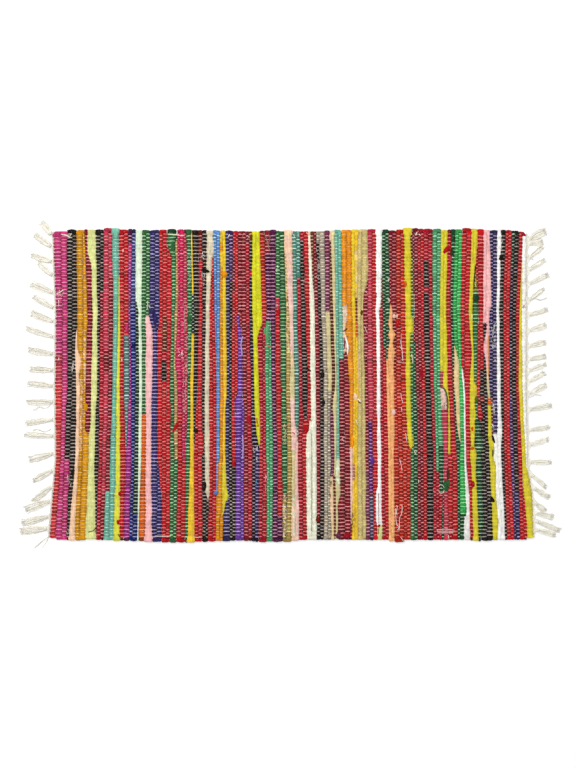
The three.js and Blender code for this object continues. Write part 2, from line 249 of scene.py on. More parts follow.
      -57: 331.8, -95: 332.5, -152: 333.5, -209: 335.7, -237.5: 336.7, -245: 336.3, -252: 333}),
    ((329, 326, 333.2, 336.5, 344), "white", {38: 327.5, 30: 329.6, 19: 331.4, -19: 334.8, -57: 335.2,
      -114: 336, -152: 336.7, -209: 342.4, -237: 343.3, -266: 343.5}),
    ((337.5, 334, 333.4, 336.5, 344), "scarlet"),
    ((347, 342, 344.2, 345, 350.3), "scarlet", {60: 347.2, 40: 346.5, 25: 345, -20: 343.8, -70: 343.8,
      -85: 344.5, -100: 345.3, -112: 346.5, -125: 344.5, -152: 346.4, -209: 348.3, -266: 349.6}),
    ((351, 348.5, 355, 355.5, 360), "yellow", {236: 350.5, 228: 353.5, 205: 352.5, 180: 350.5,
      60: 351.7, 5: 351, -1: 355.7, -22: 356, -33: 353, -58: 355.5, -70: 353, -85: 354, -112: 352,
      -118: 352, -130: 356, -142: 354.5, -152: 355.3, -209: 357.2, -237: 359.1, -266: 360}),
    ((358, 360, 357, 365, 365), "yellow 228, olive+yellow 178, forest -66, darkGreen", {236: 355.5,
      205: 356, 180: 358.5, 60: 358.5, 25: 357, 5: 356.5, -20: 357.5, -33: 359.5, -45: 358.5,
      -64: 359, -70: 363.8, -95: 364, -102: 369, -122: 369, -126: 364.5, -152: 366.5, -209: 367.5,
      -266: 369.5}),
    ((358, 360, 363, 365, 365), "scarlet -22, maroon -40, scarlet", {60: 364, 25: 363, -20: 363,
      -35: 364, -46: 366, -56: 369, -64: 368, -70: 363.8, -95: 364, -102: 369, -122: 369, -126: 364.5,
      -152: 366.5, -209: 367.5, -266: 369.5}),
    ((369.5, 369, 370, 373, 376), "scarlet 28, black -22, darkRed -32, black", {-20: 370.5, -46: 372,
      -60: 373, -80: 371, -110: 373, -152: 374.9, -209: 376.6, -266: 378.1}),
    ((376, 374.5, 376.2, 380.5, 388), "pink 118, black", {104: 375.3, 85: 371.5, 70: 370.2, 62: 371,
      47: 374.3, 28: 375, -20: 377.3, -50: 377.5, -80: 378, -110: 379, -130: 380.2, -152: 382.9,
      -209: 384.8, -266: 386.7}),
    ((382, 381, 381.5, 389, 396.5), "pink 34, peach 8, lemon -26, burntOrange -38, yellow", {
      161: 384.8, 150: 384.8, 142: 381, 60: 380.2, 35: 380, 20: 379.5, -20: 382.2, -33: 384.2,
      -50: 384, -80: 385, -95: 385.6, -105: 388, -112: 389.7, -130: 390, -152: 393, -209: 393,
      -237: 396, -266: 398}),
    ((387.5, 387.5, 387, 389, 396.5), "navy -25, darkBrown", {-30: 387, -92: 388, -112: 389.7}),
    ((396, 394.5, 395.5, 397, 404.5), "navy -94, white", {-152: 398.5}),
    ((403, 399.5, 402, 403.5, 410.5), "white", {-60: 403.5, -75: 405.5, -90: 405, -105: 403.5}),
    ((411.5, 407, 408.5, 409, 414), "black"),
    ((417, 412.5, 414, 414.5, 421), "scarlet"),
    ((423, 419, 419.5, 421, 428), "scarlet"),
    ((428.5, 424.5, 424, 427, 431.5), "blackGreen 222, midnight -20, indigo"),
    ((436.5, 431.5, 431.5, 435.5, 439), "black -200, navy"),
    ((444, 438, 436.5, 443, 446), "scarlet"),
    ((444, 438, 436.5, 443, 453), "scarlet", {-152: 442.9, -209: 446.5, -237: 450, -266: 453}),
    ((444, 442.5, 443, 450, 463), "yellow", {-152: 450.5, -171: 454, -209: 460.5, -237: 461.8}),
    ((450, 450, 450, 452.5, 463.5), "white", {-152: 453, -171: 455, -209: 461}),
]

# The sheet as a whole. Below the width of "gone" a rag has run out.
weave = dict(farWarp=286.4, nearWarp=-288.4, warpPitch=3.4, fullWidth=7.0, gone=1.7, wander=0.45,
             wanderWarps=7, wanderRoom=6.0)
# Where the turned selvedges reach, as (X, Y) from the left end to the right
selvedge = dict(
    far=((-452, 287), (-440, 291), (-420, 295.5), (-370, 294), (-345, 298), (-290, 295),
         (-220, 296), (-155, 293), (-120, 293.5), (-70, 291.5), (-35, 294), (5, 292.5),
         (50, 291), (95, 295), (155, 296), (200, 294), (225, 297.5), (265, 297), (310, 294.5),
         (337, 298), (365, 296), (405, 294), (432, 293), (449, 287)),
    near=((-456, -287), (-430, -294), (-400, -295), (-380, -292), (-340, -295), (-280, -296),
          (-220, -300), (-150, -297), (-75, -295.5), (-55, -299), (0, -297.5), (45, -293),
          (100, -292), (155, -294), (185, -293), (205, -299), (222, -295), (300, -293),
          (330, -292), (360, -297), (385, -294.5), (435, -293), (463, -288)),
)

warpCount = int(round((weave["farWarp"] - weave["nearWarp"]) / weave["warpPitch"])) + 1
warpY = np.linspace(weave["farWarp"], weave["nearWarp"], warpCount)


def edgeLine(atStations, further=()):
    points = sorted({**dict(zip(stations, atStations)), **dict(further)}.items())
    return np.interp(warpY, [y for y, x in points], [x for y, x in points])


edges = np.array([edgeLine(leftEdge)] + [edgeLine(row[0], *row[2:]) for row in rags])
edges = np.maximum.accumulate(edges)


def slowNoise(count, step, size):
    knots = rng.normal(0, 1, int(count / step) + 3)
    return size * np.interp(np.arange(count) / step, np.arange(len(knots)), knots)


# Each line between two rags wanders a little, less where a rag is thin
charted = np.diff(edges, axis=0)
for k in range(1, len(edges) - 1):
    room = np.clip(np.minimum(charted[k - 1], charted[k]) / weave["wanderRoom"], 0, 1)
    edges[k] += room * slowNoise(warpCount, weave["wanderWarps"], weave["wander"])
ragWidth = np.diff(edges, axis=0)
ragMiddle = (edges[1:] + edges[:-1]) / 2


def dyeRuns(text):
    # "mustard+peach 40, rose" is mustard flecked with peach down to Y 40, then rose
    runs = []
    for part in text.split(", "):
        words = part.split()
        names = words[0].split("+")
        until = float(words[1]) if len(words) > 1 else -math.inf
        runs.append((linearOf(dyes[names[0]]), linearOf(dyes[names[-1]]), until))
    return runs


runsOf = [dyeRuns(row[1]) for row in rags]


def dyesAt(rag, warp):
    # The rag's own dye at this warp and that of its flecks
    return next((main, flecks) for main, flecks, until in runsOf[rag] if warpY[warp] > until)


# Pale rags are soft and thick, and the warp sinks in them: 0 for a dark dye and 1 for a pale one
pale = dict(starts=0.2, full=0.65)


def plushness(colour):
    brightness = colour @ np.array([0.2126, 0.7152, 0.0722])
    return float(np.interp(brightness, (pale["starts"], pale["full"]), (0, 1)))


def plushAt(rag, warps):
    return np.array([plushness(dyesAt(rag, warp)[0]) for warp in warps])


# How a rag lies in the weave. Sizes in mm, painted shade and highlight as shares of the dye. Each
# way an end can lie is a list of (mm past the last warp, how far it drops, its size beside the rag),
# and the plain one, which runs out to the selvedge, has shares of the way there for the mm.
ragWeft = dict(
    top=6.1, thick=4.3, thin=2.4, narrowDrop=0.5,
    dip=1.05, squeeze=0.87, bulge=1.15,  # where a warp crosses over it, and between
    swell=1.03, softSwell=0.17, crumple=0.08,
    # painted shade where a warp pinches the rag, a painted highlight on the puff between, and the share
    # of these and of the corner shade that pale rags keep
    pinchShade=0.4, puffShade=1.15, paleShadow=0.15, paleFirm=0.25,
    flecked=0.4, toneSpread=0.06, cornerSpread=0.08, lineSpread=0.13, driftSpread=0.08, driftWarps=9,
    turned=((3.0, 0.2, 1.05), (5.0, 0.8, 0.95)),
    plain=((0.5, 0.1, 1.08), (0.88, 0.4, 1.1), (1.0, 0.9, 0.86)), endSpread=0.4,
    cut=((2.5, 0.8, 0.7), (4.5, 1.6, 0.3)),
)
ragTone = 1 + ragWeft["toneSpread"] * rng.normal(0, 1, len(rags))

# Sections of the rag and of the yarn, anticlockwise seen from behind, as shares of half sizes,
# and the painted shade on each corner of the rag's section: darkest at its sides and bottom,
# where it lies between its neighbours, and lightest on top
ragSection = np.array([(-1, -0.05), (-0.62, -0.95), (0.62, -0.95), (1, -0.05),
                       (0.84, 0.62), (0.34, 1), (-0.34, 1), (-0.84, 0.62)])
ragShade = np.array([0.3, 0.25, 0.25, 0.3, 0.74, 1.06, 1.06, 0.74])
yarnSection = np.array([(-0.59, -0.81), (0.59, -0.81), (0.95, 0.31), (0, 1), (-0.95, 0.31)])
threadSection = np.array([(-0.87, -0.5), (0.87, -0.5), (0, 1)])


def smoothPath(points, count):
    # A smooth curve through the points
    points = np.asarray(points, float)
    place = np.linspace(0, len(points) - 1, count)
    i = np.clip(place.astype(int), 0, len(points) - 2)
    t = (place - i)[:, None]
    padded = np.concatenate([[2 * points[0] - points[1]], points, [2 * points[-1] - points[-2]]])
    a, b, c, d = padded[i], padded[i + 1], padded[i + 2], padded[i + 3]
    return 0.5 * (2 * b + (c - a) * t + (2 * a - 5 * b + 4 * c - d) * t ** 2
                  + (3 * b - a - 3 * c + d) * t ** 3)


def unit(vectors):
    return vectors / (np.linalg.norm(vectors, axis=1)[:, None] + 1e-9)


def sweep(points, halfWide, halfThick, section, colours, crumple=0.0):
    # A closed tube in mm: points run along it, and colours has one row a point, or a single one
    points = np.asarray(points, float)
    count = len(points)
    ahead = unit(np.gradient(points, axis=0))
    side = unit(np.stack([ahead[:, 1], -ahead[:, 0], np.zeros(count)], 1))
    up = np.cross(side, ahead)
    out = np.ones((count, len(section)))
    if crumple:
        out += crumple * rng.normal(0, 1, out.shape)
    u = section[:, 0] * np.broadcast_to(halfWide, count)[:, None] * out
    v = section[:, 1] * np.broadcast_to(halfThick, count)[:, None] * out
    verts = points[:, None] + side[:, None] * u[..., None] + up[:, None] * v[..., None]
    colours = np.asarray(colours, float)
    if colours.ndim == 1:
        colours = np.repeat(colours[None], count, axis=0)
    if colours.ndim == 2:
        colours = np.repeat(colours[:, None], len(section), axis=1)
    return dict(verts=verts, colours=colours)


# Each tube has its own cell of the bake map, with its two caps in the cell's end margins, and its
# own start on the map along the yarn
tubeMap = dict(edge=0.05, endEdge=0.03, capWide=0.004, capHigh=0.3, startMm=13.7)


def joinTubes(name, tubes, material, perRow=1):
    # One mesh of many tubes, with its colours, a map along each tube for the twist of the yarn
    # and a map where no two faces share a place
    quads, quadTwist, quadMap, caps, capMap = [], [], [], [], []
    start = 0
    rows = math.ceil(len(tubes) / perRow)
    for index, tube in enumerate(tubes):
        n, m, _ = tube["verts"].shape
        i, k = (grid.ravel() for grid in np.meshgrid(np.arange(n - 1), np.arange(m), indexing="ij"))
        after = (k + 1) % m
        quads.append(start + np.stack([i * m + k, (i + 1) * m + k, (i + 1) * m + after,
                                       i * m + after], 1))
        middle = tube["verts"].mean(1)
        steps = np.linalg.norm(np.diff(middle, axis=0), axis=1)
        run = np.concatenate([[0], np.cumsum(steps)]) + tubeMap["startMm"] * index
        corners = ((i, k), (i + 1, k), (i + 1, k + 1), (i, k + 1))
        quadTwist.append(np.stack([np.stack([run[a], b / m], 1) for a, b in corners], 1))
        row, column = divmod(index, perRow)
        edge, endEdge = tubeMap["edge"], tubeMap["endEdge"]
        across = (column + np.linspace(endEdge, 1 - endEdge, n)) / perRow
        upTo = (row + np.linspace(edge, 1 - edge, m + 1)) / rows
        quadMap.append(np.stack([np.stack([across[a], upTo[b]], 1) for a, b in corners], 1))
        ring = np.arange(m)
        turn = 2 * np.pi * ring / m
        spread = np.stack([np.cos(turn) * tubeMap["capWide"] / perRow,
                           np.sin(turn) * tubeMap["capHigh"] / rows], 1)
        last = start + (n - 1) * m
        for cap, at in ((start + ring, endEdge / 2), (last + ring[::-1], 1 - endEdge / 2)):
            caps.append(cap)
            capMap.append(np.array([(column + at) / perRow, (row + 0.5) / rows]) + spread)
        start += n * m
    places = np.concatenate([tube["verts"].reshape(-1, 3) for tube in tubes])
    places[:, :2] += chartShift
    places *= mm
    quads = np.concatenate(quads)
    loops = np.concatenate([quads.ravel(), *caps])
    sizes = np.concatenate([np.full(len(quads), 4), [len(cap) for cap in caps]])
    mesh = bpy.data.meshes.new(name)
    mesh.vertices.add(len(places))
    mesh.vertices.foreach_set("co", places.ravel())
    mesh.loops.add(len(loops))
    mesh.loops.foreach_set("vertex_index", loops.astype(np.int32))
    mesh.polygons.add(len(sizes))
    mesh.polygons.foreach_set("loop_start", (np.cumsum(sizes) - sizes).astype(np.int32))
    mesh.update(calc_edges=True)
    mesh.polygons.foreach_set("use_smooth", np.ones(len(sizes), bool))
    flatCaps = [np.zeros((len(cap), 2)) for cap in caps]
    for layer, quadUv, capUv in (("alongYarn", quadTwist, flatCaps), ("OFBake", quadMap, capMap)):
        places = np.concatenate([np.concatenate(quadUv).reshape(-1, 2), *capUv])
        mesh.uv_layers.new(name=layer).uv.foreach_set("vector", places.astype(np.float32).ravel())
    dye = mesh.color_attributes.new("dye", "FLOAT_COLOR", "POINT")
    shade = np.clip(np.concatenate([tube["colours"].reshape(-1, 3) for tube in tubes]), 0, 1)
    opaque = np.ones((len(shade), 1))
    dye.data.foreach_set("color", np.concatenate([shade, opaque], 1).astype(np.float32).ravel())
    mesh.materials.append(material)
    piece = bpy.data.objects.new(name, mesh)
    scene.collection.objects.link(piece)
    print(f"{name}: {2 * len(quads) + sum(len(cap) - 2 for cap in caps)} triangles")
    return piece


def addNode(tree, kind, settings=None, **inputs):
    # Inputs are named by socket, with _ for a space. A socket is linked, a node stands for its
    # first output, and a plain value is set.
    node = tree.nodes.new("ShaderNode" + kind)
    for key, value in (settings or {}).items():
        setattr(node, key, value)
    for key, value in inputs.items():
        socket = node.inputs[int(key[1:])] if key[1:].isdigit() else node.inputs[key.replace("_", " ")]
        if isinstance(value, bpy.types.Node):
            value = value.outputs[0]
        if isinstance(value, bpy.types.NodeSocket):
            tree.links.new(value, socket)
        else:
            socket.default_value = value
    return node


def newMaterial(name):
    material = bpy.data.materials.new(name)
    material.use_nodes = True
    tree = material.node_tree
    tree.nodes.clear()
    return material, tree


def perMm(size):
    return 1 / (size * mm)


def matteCotton(tree, look, colour, height, patches):
    # What both cottons share: a fine relief, and a dull surface that varies a little
    bump = addNode(tree, "Bump", Height=height, Strength=look["relief"],
                   Distance=look["reliefMm"] * mm)
    rough = addNode(tree, "MapRange", Value=patches, To_Min=look["roughness"] - look["uneven"],
                    To_Max=look["roughness"] + look["uneven"])
    cotton = addNode(tree, "BsdfPrincipled", Base_Color=colour, Roughness=rough, Normal=bump,
                     IOR=look["ior"], Specular_IOR_Level=look["gloss"],
                     Sheen_Weight=look["sheen"], Sheen_Roughness=0.5)
    addNode(tree, "OutputMaterial", Surface=cotton)


# Dyed cotton offcuts, torn to strips and folded as they were beaten in: matte, with soft folds along
# the strip, drawn as bumps and as painted shade, darker in their troughs and with a painted
# highlight on their crests, a thread grain, faded high spots and a thin bloom of fibre at grazing
# angles. The grain is drawn coarser than the real thread, so that it shows.
ragCloth = dict(threadMm=1.1, foldMm=2.6, foldLength=0.22, mottleMm=9.0, fleckMm=2.2, fade=0.12,
                foldShade=0.8, foldHighlight=1.14, worn=0.14, wornColour="e6d8c8", richness=1.04,
                grain=0.25, relief=0.7, reliefMm=0.35, roughness=0.9, uneven=0.08, gloss=0.12,
                sheen=0.04, ior=1.5)


def dyedCottonRag():
    material, tree = newMaterial("dyed_cotton_rag")
    place = addNode(tree, "TexCoord").outputs["Object"]
    dye = addNode(tree, "VertexColor", {"layer_name": "dye"})
    mottle = addNode(tree, "TexNoise", Vector=place, Scale=perMm(ragCloth["mottleMm"]), Detail=3.0)
    stretched = addNode(tree, "Mapping", {"vector_type": "POINT"}, Vector=place,
                        Scale=(1.0, ragCloth["foldLength"], 1.0))
    folds = addNode(tree, "TexNoise", Vector=stretched, Scale=perMm(ragCloth["foldMm"]), Detail=4.0,
                    Roughness=0.6)
    flecks = addNode(tree, "TexNoise", Vector=place, Scale=perMm(ragCloth["fleckMm"]), Detail=1.0)
    threadScale = 0.155 * perMm(ragCloth["threadMm"])  # bands run at 20 radians a unit of scale
    warp, weft = [addNode(tree, "TexWave", {"bands_direction": way}, Vector=place,
                          Scale=threadScale, Distortion=1.2).outputs["Fac"] for way in "XY"]
    grain = addNode(tree, "Math", {"operation": "MAXIMUM"}, _0=warp, _1=weft)
    value = addNode(tree, "MapRange", Value=mottle, From_Min=0.3, From_Max=0.7,
                    To_Min=1 - ragCloth["fade"], To_Max=1 + ragCloth["fade"])
    # painted shade in the troughs of the folds and a painted highlight on their crests, from the noise
    # that also bumps them
    foldShading = addNode(tree, "MapRange", Value=folds, From_Min=0.35, From_Max=0.65,
                     To_Min=ragCloth["foldShade"], To_Max=ragCloth["foldHighlight"])
    shade = addNode(tree, "Math", {"operation": "MULTIPLY"}, _0=value, _1=foldShading)
    tinted = addNode(tree, "HueSaturation", Color=dye, Value=shade, Saturation=ragCloth["richness"])
    wornShare = addNode(tree, "MapRange", Value=flecks, From_Min=0.62, From_Max=0.72,
                        To_Min=0.0, To_Max=ragCloth["worn"])
    worn = addNode(tree, "Mix", {"data_type": "RGBA"}, _0=wornShare, _6=tinted,
                   _7=(*linearOf(ragCloth["wornColour"]), 1)).outputs[2]
    height = addNode(tree, "Math", {"operation": "MULTIPLY_ADD"}, _0=grain, _1=ragCloth["grain"],
                     _2=folds)
    matteCotton(tree, ragCloth, worn, height, mottle)
    return material


# Unbleached carded cotton, spun and plied: cream, matte, with a slanting ply, drawn as bumps and
# as painted shade in its grooves with a painted highlight on its crowns, and stray fibre
yarn = dict(plyMm=2.4, fuzzMm=0.9, mottleMm=6.0, grooveShade=0.9, crownHighlight=1.02, patchDark=0.9,
            patchPale=1.06, groove=0.3, relief=0.4, reliefMm=0.3, roughness=0.88, uneven=0.08,
            gloss=0.2, sheen=0.1, ior=1.5)


def pliedCottonYarn():
    material, tree = newMaterial("plied_cotton_yarn")
    place = addNode(tree, "TexCoord").outputs["Object"]
    dye = addNode(tree, "VertexColor", {"layer_name": "dye"})
    along = addNode(tree, "UVMap", {"uv_map": "alongYarn"})
    parts = addNode(tree, "SeparateXYZ", Vector=along)
    turns = addNode(tree, "Math", {"operation": "MULTIPLY_ADD"}, _0=parts, _1=1 / yarn["plyMm"],
                    _2=parts.outputs["Y"])
    angle = addNode(tree, "Math", {"operation": "MULTIPLY"}, _0=turns, _1=4 * math.pi)
    ply = addNode(tree, "Math", {"operation": "SINE"}, _0=angle)
    fuzz = addNode(tree, "TexNoise", Vector=place, Scale=perMm(yarn["fuzzMm"]), Detail=3.0)
    mottle = addNode(tree, "TexNoise", Vector=place, Scale=perMm(yarn["mottleMm"]), Detail=2.0)
    # painted shade in the grooves of the ply and a painted highlight on its crowns, from the wave that
    # also bumps it
    plyShading = addNode(tree, "MapRange", Value=ply, From_Min=-1.0, From_Max=0.2,
                      To_Min=yarn["grooveShade"], To_Max=yarn["crownHighlight"])
    patchy = addNode(tree, "MapRange", Value=mottle, From_Min=0.3, From_Max=0.7,
                     To_Min=yarn["patchDark"], To_Max=yarn["patchPale"])
    shade = addNode(tree, "Math", {"operation": "MULTIPLY"}, _0=plyShading, _1=patchy)
    tinted = addNode(tree, "HueSaturation", Color=dye, Value=shade)
    height = addNode(tree, "Math", {"operation": "MULTIPLY_ADD"}, _0=ply, _1=yarn["groove"], _2=fuzz)
    matteCotton(tree, yarn, tinted, height, fuzz)
    return material


ragMaterial = dyedCottonRag()
yarnMaterial = pliedCottonYarn()
print("materials made")


def isOver(rag, warp):
    return (rag + warp) % 2 == 0


def ragHeights(rag, warps, width, plush):
    # Middle height and half thickness: a rag dips where a warp crosses over it
    full = np.clip(width / weave["fullWidth"], 0, 1)
    thick = ragWeft["thin"] + (ragWeft["thick"] - ragWeft["thin"]) * full
    dip = np.where(isOver(rag, warps), ragWeft["dip"] * (1 - 0.5 * plush), 0)
    top = ragWeft["top"] - dip - ragWeft["narrowDrop"] * (1 - full)
    return top - thick / 2, thick / 2


def selvedgeAt(atFar, x):
    knots = np.array(selvedge["far" if atFar else "near"], float)
    return np.interp(x, knots[:, 0], knots[:, 1])


def endColour(rag, warp):
    return dyesAt(rag, warp)[0] * ragTone[rag]


def alike(a, b, nearness=0.13):
    return np.linalg.norm(np.sqrt(a) - np.sqrt(b)) < nearness


def pairedRags(warp, avoid=()):
    # Neighbours of one colour at a selvedge are one rag that turns back there
    present = [k for k in range(len(rags)) if ragWidth[k, warp] > weave["gone"]]
    pairs, t = [], 0
    while t < len(present) - 1:
        a, b = present[t], present[t + 1]
        same = alike(endColour(a, warp), endColour(b, warp))
        c = present[t + 2] if t + 2 < len(present) else None
        later = c is not None and alike(endColour(b, warp), endColour(c, warp))
        if same and not ((a, b) in avoid and later):
            pairs.append((a, b))
            t += 2
        else:
            t += 1
    return pairs


def ragColours(rag, warps):
    # The dye at every corner of every section, with its flecks, random unevenness by corner and by
    # warp, and painted shade: darker where a warp pinches the rag, lighter on the puff between, and
    # darker at the section's sides and bottom
    rows = []
    corners = len(ragSection)
    for warp in warps:
        main, flecks = dyesAt(rag, warp)
        ring = np.where(rng.random((corners, 1)) < ragWeft["flecked"], flecks, main)
        # painted shade where a warp pinches the rag and a painted highlight on the puff between, weaker
        # on pale rags
        shade = ragWeft["pinchShade"] if isOver(rag, warp) else ragWeft["puffShade"]
        dark = 1 - (1 - ragWeft["paleShadow"]) * plushness(main)
        rows.append(ring * (1 - (1 - shade) * dark))
    # painted shade on the corners of the section, with the rag's random tone; pale rags keep less of it
    # and of the unevenness
    firm = 1 - (1 - ragWeft["paleFirm"]) * plushAt(rag, warps)[:, None]
    rows = np.array(rows) * ((ragTone[rag] * ragShade[None]) ** firm)[:, :, None]
    uneven = (ragWeft["cornerSpread"] * rng.normal(0, 1, (len(warps), corners))
              + ragWeft["lineSpread"] * rng.normal(0, 1, (len(warps), 1)))
    drift = slowNoise(len(warps), ragWeft["driftWarps"], ragWeft["driftSpread"])[:, None]
    return rows * ((1 + firm * uneven) * (1 + firm * drift))[:, :, None]


def ragEnd(point, away, atSelvedge, joined):
    # Sections past the rag's last warp, as (X, Y, Z, size)
    x, y, height = point
    if atSelvedge and not joined:
        reach = abs(selvedgeAt(away > 0, x) - y) + ragWeft["endSpread"] * rng.normal()
        return [(x, y + away * reach * share, height - drop, size)
                for share, drop, size in ragWeft["plain"]]
    shape = ragWeft["turned" if atSelvedge else "cut"]
    return [(x, y + away * past, height - drop, size) for past, drop, size in shape]


def ragTube(rag, first, last):
    warps = np.arange(first, last + 1)
    plush = plushAt(rag, warps)
    width = ragWidth[rag, warps]
    z, half = ragHeights(rag, warps, width, plush)
    wide = width / 2 * np.where(isOver(rag, warps), ragWeft["squeeze"], ragWeft["bulge"])
    wide = wide * (ragWeft["swell"] + ragWeft["softSwell"] * plush)
    points = np.stack([ragMiddle[rag, warps], warpY[warps], z], 1)
    shade = ragColours(rag, warps)
    nearEnd = np.array(ragEnd(points[-1], -1, last == warpCount - 1, rag in nearJoined))
    farEnd = np.array(ragEnd(points[0], 1, first == 0, rag in farJoined))[::-1]
    points = np.concatenate([farEnd[:, :3], points, nearEnd[:, :3]])
    wide = np.concatenate([farEnd[:, 3] * wide[0], wide, nearEnd[:, 3] * wide[-1]])
    half = np.concatenate([farEnd[:, 3] * half[0], half, nearEnd[:, 3] * half[-1]])
    rows = np.clip(np.arange(-len(farEnd), len(warps) + len(nearEnd)), 0, len(warps) - 1)
    return sweep(points, wide, half, ragSection, shade[rows], ragWeft["crumple"])


# The rag's turn round the outermost warp, which lies across both of its runs
ragTurn = dict(half=3.4, halfSpread=0.1, roll=0.5, tilt=0.5, inset=0.5, height=3.9, endDrop=0.7,
               endInset=0.9, endNarrow=0.22, thick=2.0)


def turnTube(a, b, atFar):
    warp = 0 if atFar else warpCount - 1
    away = 1 if atFar else -1
    x0, x1 = edges[a, warp] + ragTurn["inset"], edges[b + 1, warp] - ragTurn["inset"]
    reach = selvedgeAt(atFar, (x0 + x1) / 2) + ragTurn["roll"] * rng.normal()
    half = ragTurn["half"] * (1 + ragTurn["halfSpread"] * rng.normal())
    tilt = ragTurn["tilt"] * rng.normal()
    share = np.linspace(0, 1, 8)
    end = np.abs(2 * share - 1)
    y = reach - away * half - tilt * (share - 0.5) - away * ragTurn["endInset"] * end ** 4
    z = ragTurn["height"] - ragTurn["endDrop"] * end ** 3
    points = np.stack([x0 + (x1 - x0) * share, y, z], 1)
    wide = half * (1 - ragTurn["endNarrow"] * end ** 6)
    shade = endColour(a, warp) * (1 - share[:, None]) + endColour(b, warp) * share[:, None]
    # painted shade: the turn takes the rag's corner shade, softened
    shade = shade[:, None] * np.sqrt(ragShade)[:, None]
    return sweep(points, wide, ragTurn["thick"], ragSection, shade, ragWeft["crumple"])


farPairs = pairedRags(0)
nearPairs = pairedRags(warpCount - 1, avoid=farPairs)
farJoined = {k for pair in farPairs for k in pair}
nearJoined = {k for pair in nearPairs for k in pair}

ragTubes = []
for rag in range(len(rags)):
    present = ragWidth[rag] > weave["gone"]
    change = np.flatnonzero(np.diff(np.concatenate([[False], present, [False]]).astype(int)))
    ragTubes += [(rag, ragTube(rag, first, stop - 1))
                 for first, stop in zip(change[::2], change[1::2]) if stop - first > 3]
for atFar, pairs in ((True, farPairs), (False, nearPairs)):
    ragTubes += [(a, turnTube(a, b, atFar)) for a, b in pairs]
ragTubes.sort(key=lambda entry: entry[0])

ragGroups = 4
groupEnds = np.linspace(0, len(rags), ragGroups + 1).astype(int)
for group, (low, high) in enumerate(zip(groupEnds, groupEnds[1:])):
    tubes = [tube for rag, tube in ragTubes if low <= rag < high]
    piece = joinTubes(f"rag_weft_{group + 1}", tubes, ragMaterial)
    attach(piece, "root")
print("rags woven")

# The warp yarn in mm. Over a rag its colour has painted light: the rag's dye tints it as a painted
# reflection of the rag, as shares of tint for a dark and for a bright dye, and a painted highlight
# brightens it by the rag's brightness, from dark to bright.
warpYarn = dict(wide=0.95, thick=0.7, over=5.9, under=0.8, shoulder=1.15, reach=0.14, arch=0.3,
                skew=0.6, sink=1.1, overhang=2.2, endHeight=2.6, sideways=0.22, thickSpread=0.08,
                dashSpread=0.16, shadeSpread=0.22, endShade=0.66, tint=(0.5, 0.85),
                light=(0.82, 1.7, 1.7), sunkDye=0.75, hiddenShade=0.5)


def yarnWithRagLight(dye):
    # painted light: a reflection of the rag's dye tints the cream, and a painted highlight brightens it
    # with the rag's brightness
    strength = dye.max()
    glow = dye / max(strength, 0.02)
    share = np.interp(strength, (0, 0.3), warpYarn["tint"])
    return dashCream * (1 - share + share * glow) * np.interp(strength, (0, 0.35, 0.8), warpYarn["light"])


def warpTube(warp):
    stops = []  # X, shift aside, Z, size and colour
    wobble = slowNoise(len(rags), 5, warpYarn["sideways"])
    radius = 1 + warpYarn["thickSpread"] * rng.normal()
    overhang, endHeight = warpYarn["overhang"], warpYarn["endHeight"]
    stops.append((edges[0, warp] - overhang, wobble[0], endHeight, 1, cream))
    for rag in range(len(rags)):
        width, left = ragWidth[rag, warp], edges[rag, warp]
        if width <= weave["gone"]:
            continue
        if not isOver(rag, warp):
            # painted shade: the yarn drawn darker where it runs under a rag
            stops.append((left + 0.5 * width, wobble[rag], warpYarn["under"], 1,
                          cream * warpYarn["hiddenShade"]))
            continue
        full = min(width / weave["fullWidth"], 1)
        dye = dyesAt(rag, warp)[0]
        plush = plushness(dye)
        crown = warpYarn["over"] - 0.5 * (1 - full) - warpYarn["sink"] * plush
        sunk = warpYarn["sunkDye"] * plush
        uneven = warpYarn["shadeSpread"] * rng.normal() * (1 - 0.8 * plush)
        shade = (yarnWithRagLight(dye) * (1 - sunk) + dye * sunk) * min(max(0.98 + uneven, 0.45), 1.3)
        # painted shade: the dash darker at its ends, where it dives between the rags, less so on pale
        # rags
        dim = shade * (warpYarn["endShade"] + (1 - warpYarn["endShade"]) * 0.6 * plush)
        skew = warpYarn["skew"] * rng.normal()
        arch = warpYarn["arch"] * rng.random()
        fat = 1 + warpYarn["dashSpread"] * rng.normal()
        near, shoulder = warpYarn["reach"], crown - warpYarn["shoulder"]
        for share, lift, z, colour in ((near, 0, shoulder, dim), (0.5, arch, crown, shade),
                                       (1 - near, 0, shoulder, dim)):
            stops.append((left + share * width, wobble[rag] + skew * (share - 0.5) + lift, z, fat,
                          colour))
    stops.append((edges[-1, warp] + overhang, wobble[-1], endHeight, 1, cream))
    x, aside, z, size, colours = (np.array(column) for column in zip(*stops))
    size = size * radius
    return sweep(np.stack([x, warpY[warp] + aside, z], 1), warpYarn["wide"] * size,
                 warpYarn["thick"] * size, yarnSection, colours)


warpTubes = [warpTube(warp) for warp in range(warpCount)]
warpGroups = 3
cuts = [warpCount * group // warpGroups for group in range(warpGroups + 1)]
warpPieces = [joinTubes(f"warp_yarns_{group + 1}", warpTubes[low:high], yarnMaterial)
              for group, (low, high) in enumerate(zip(cuts, cuts[1:]))]
print("warps strung")

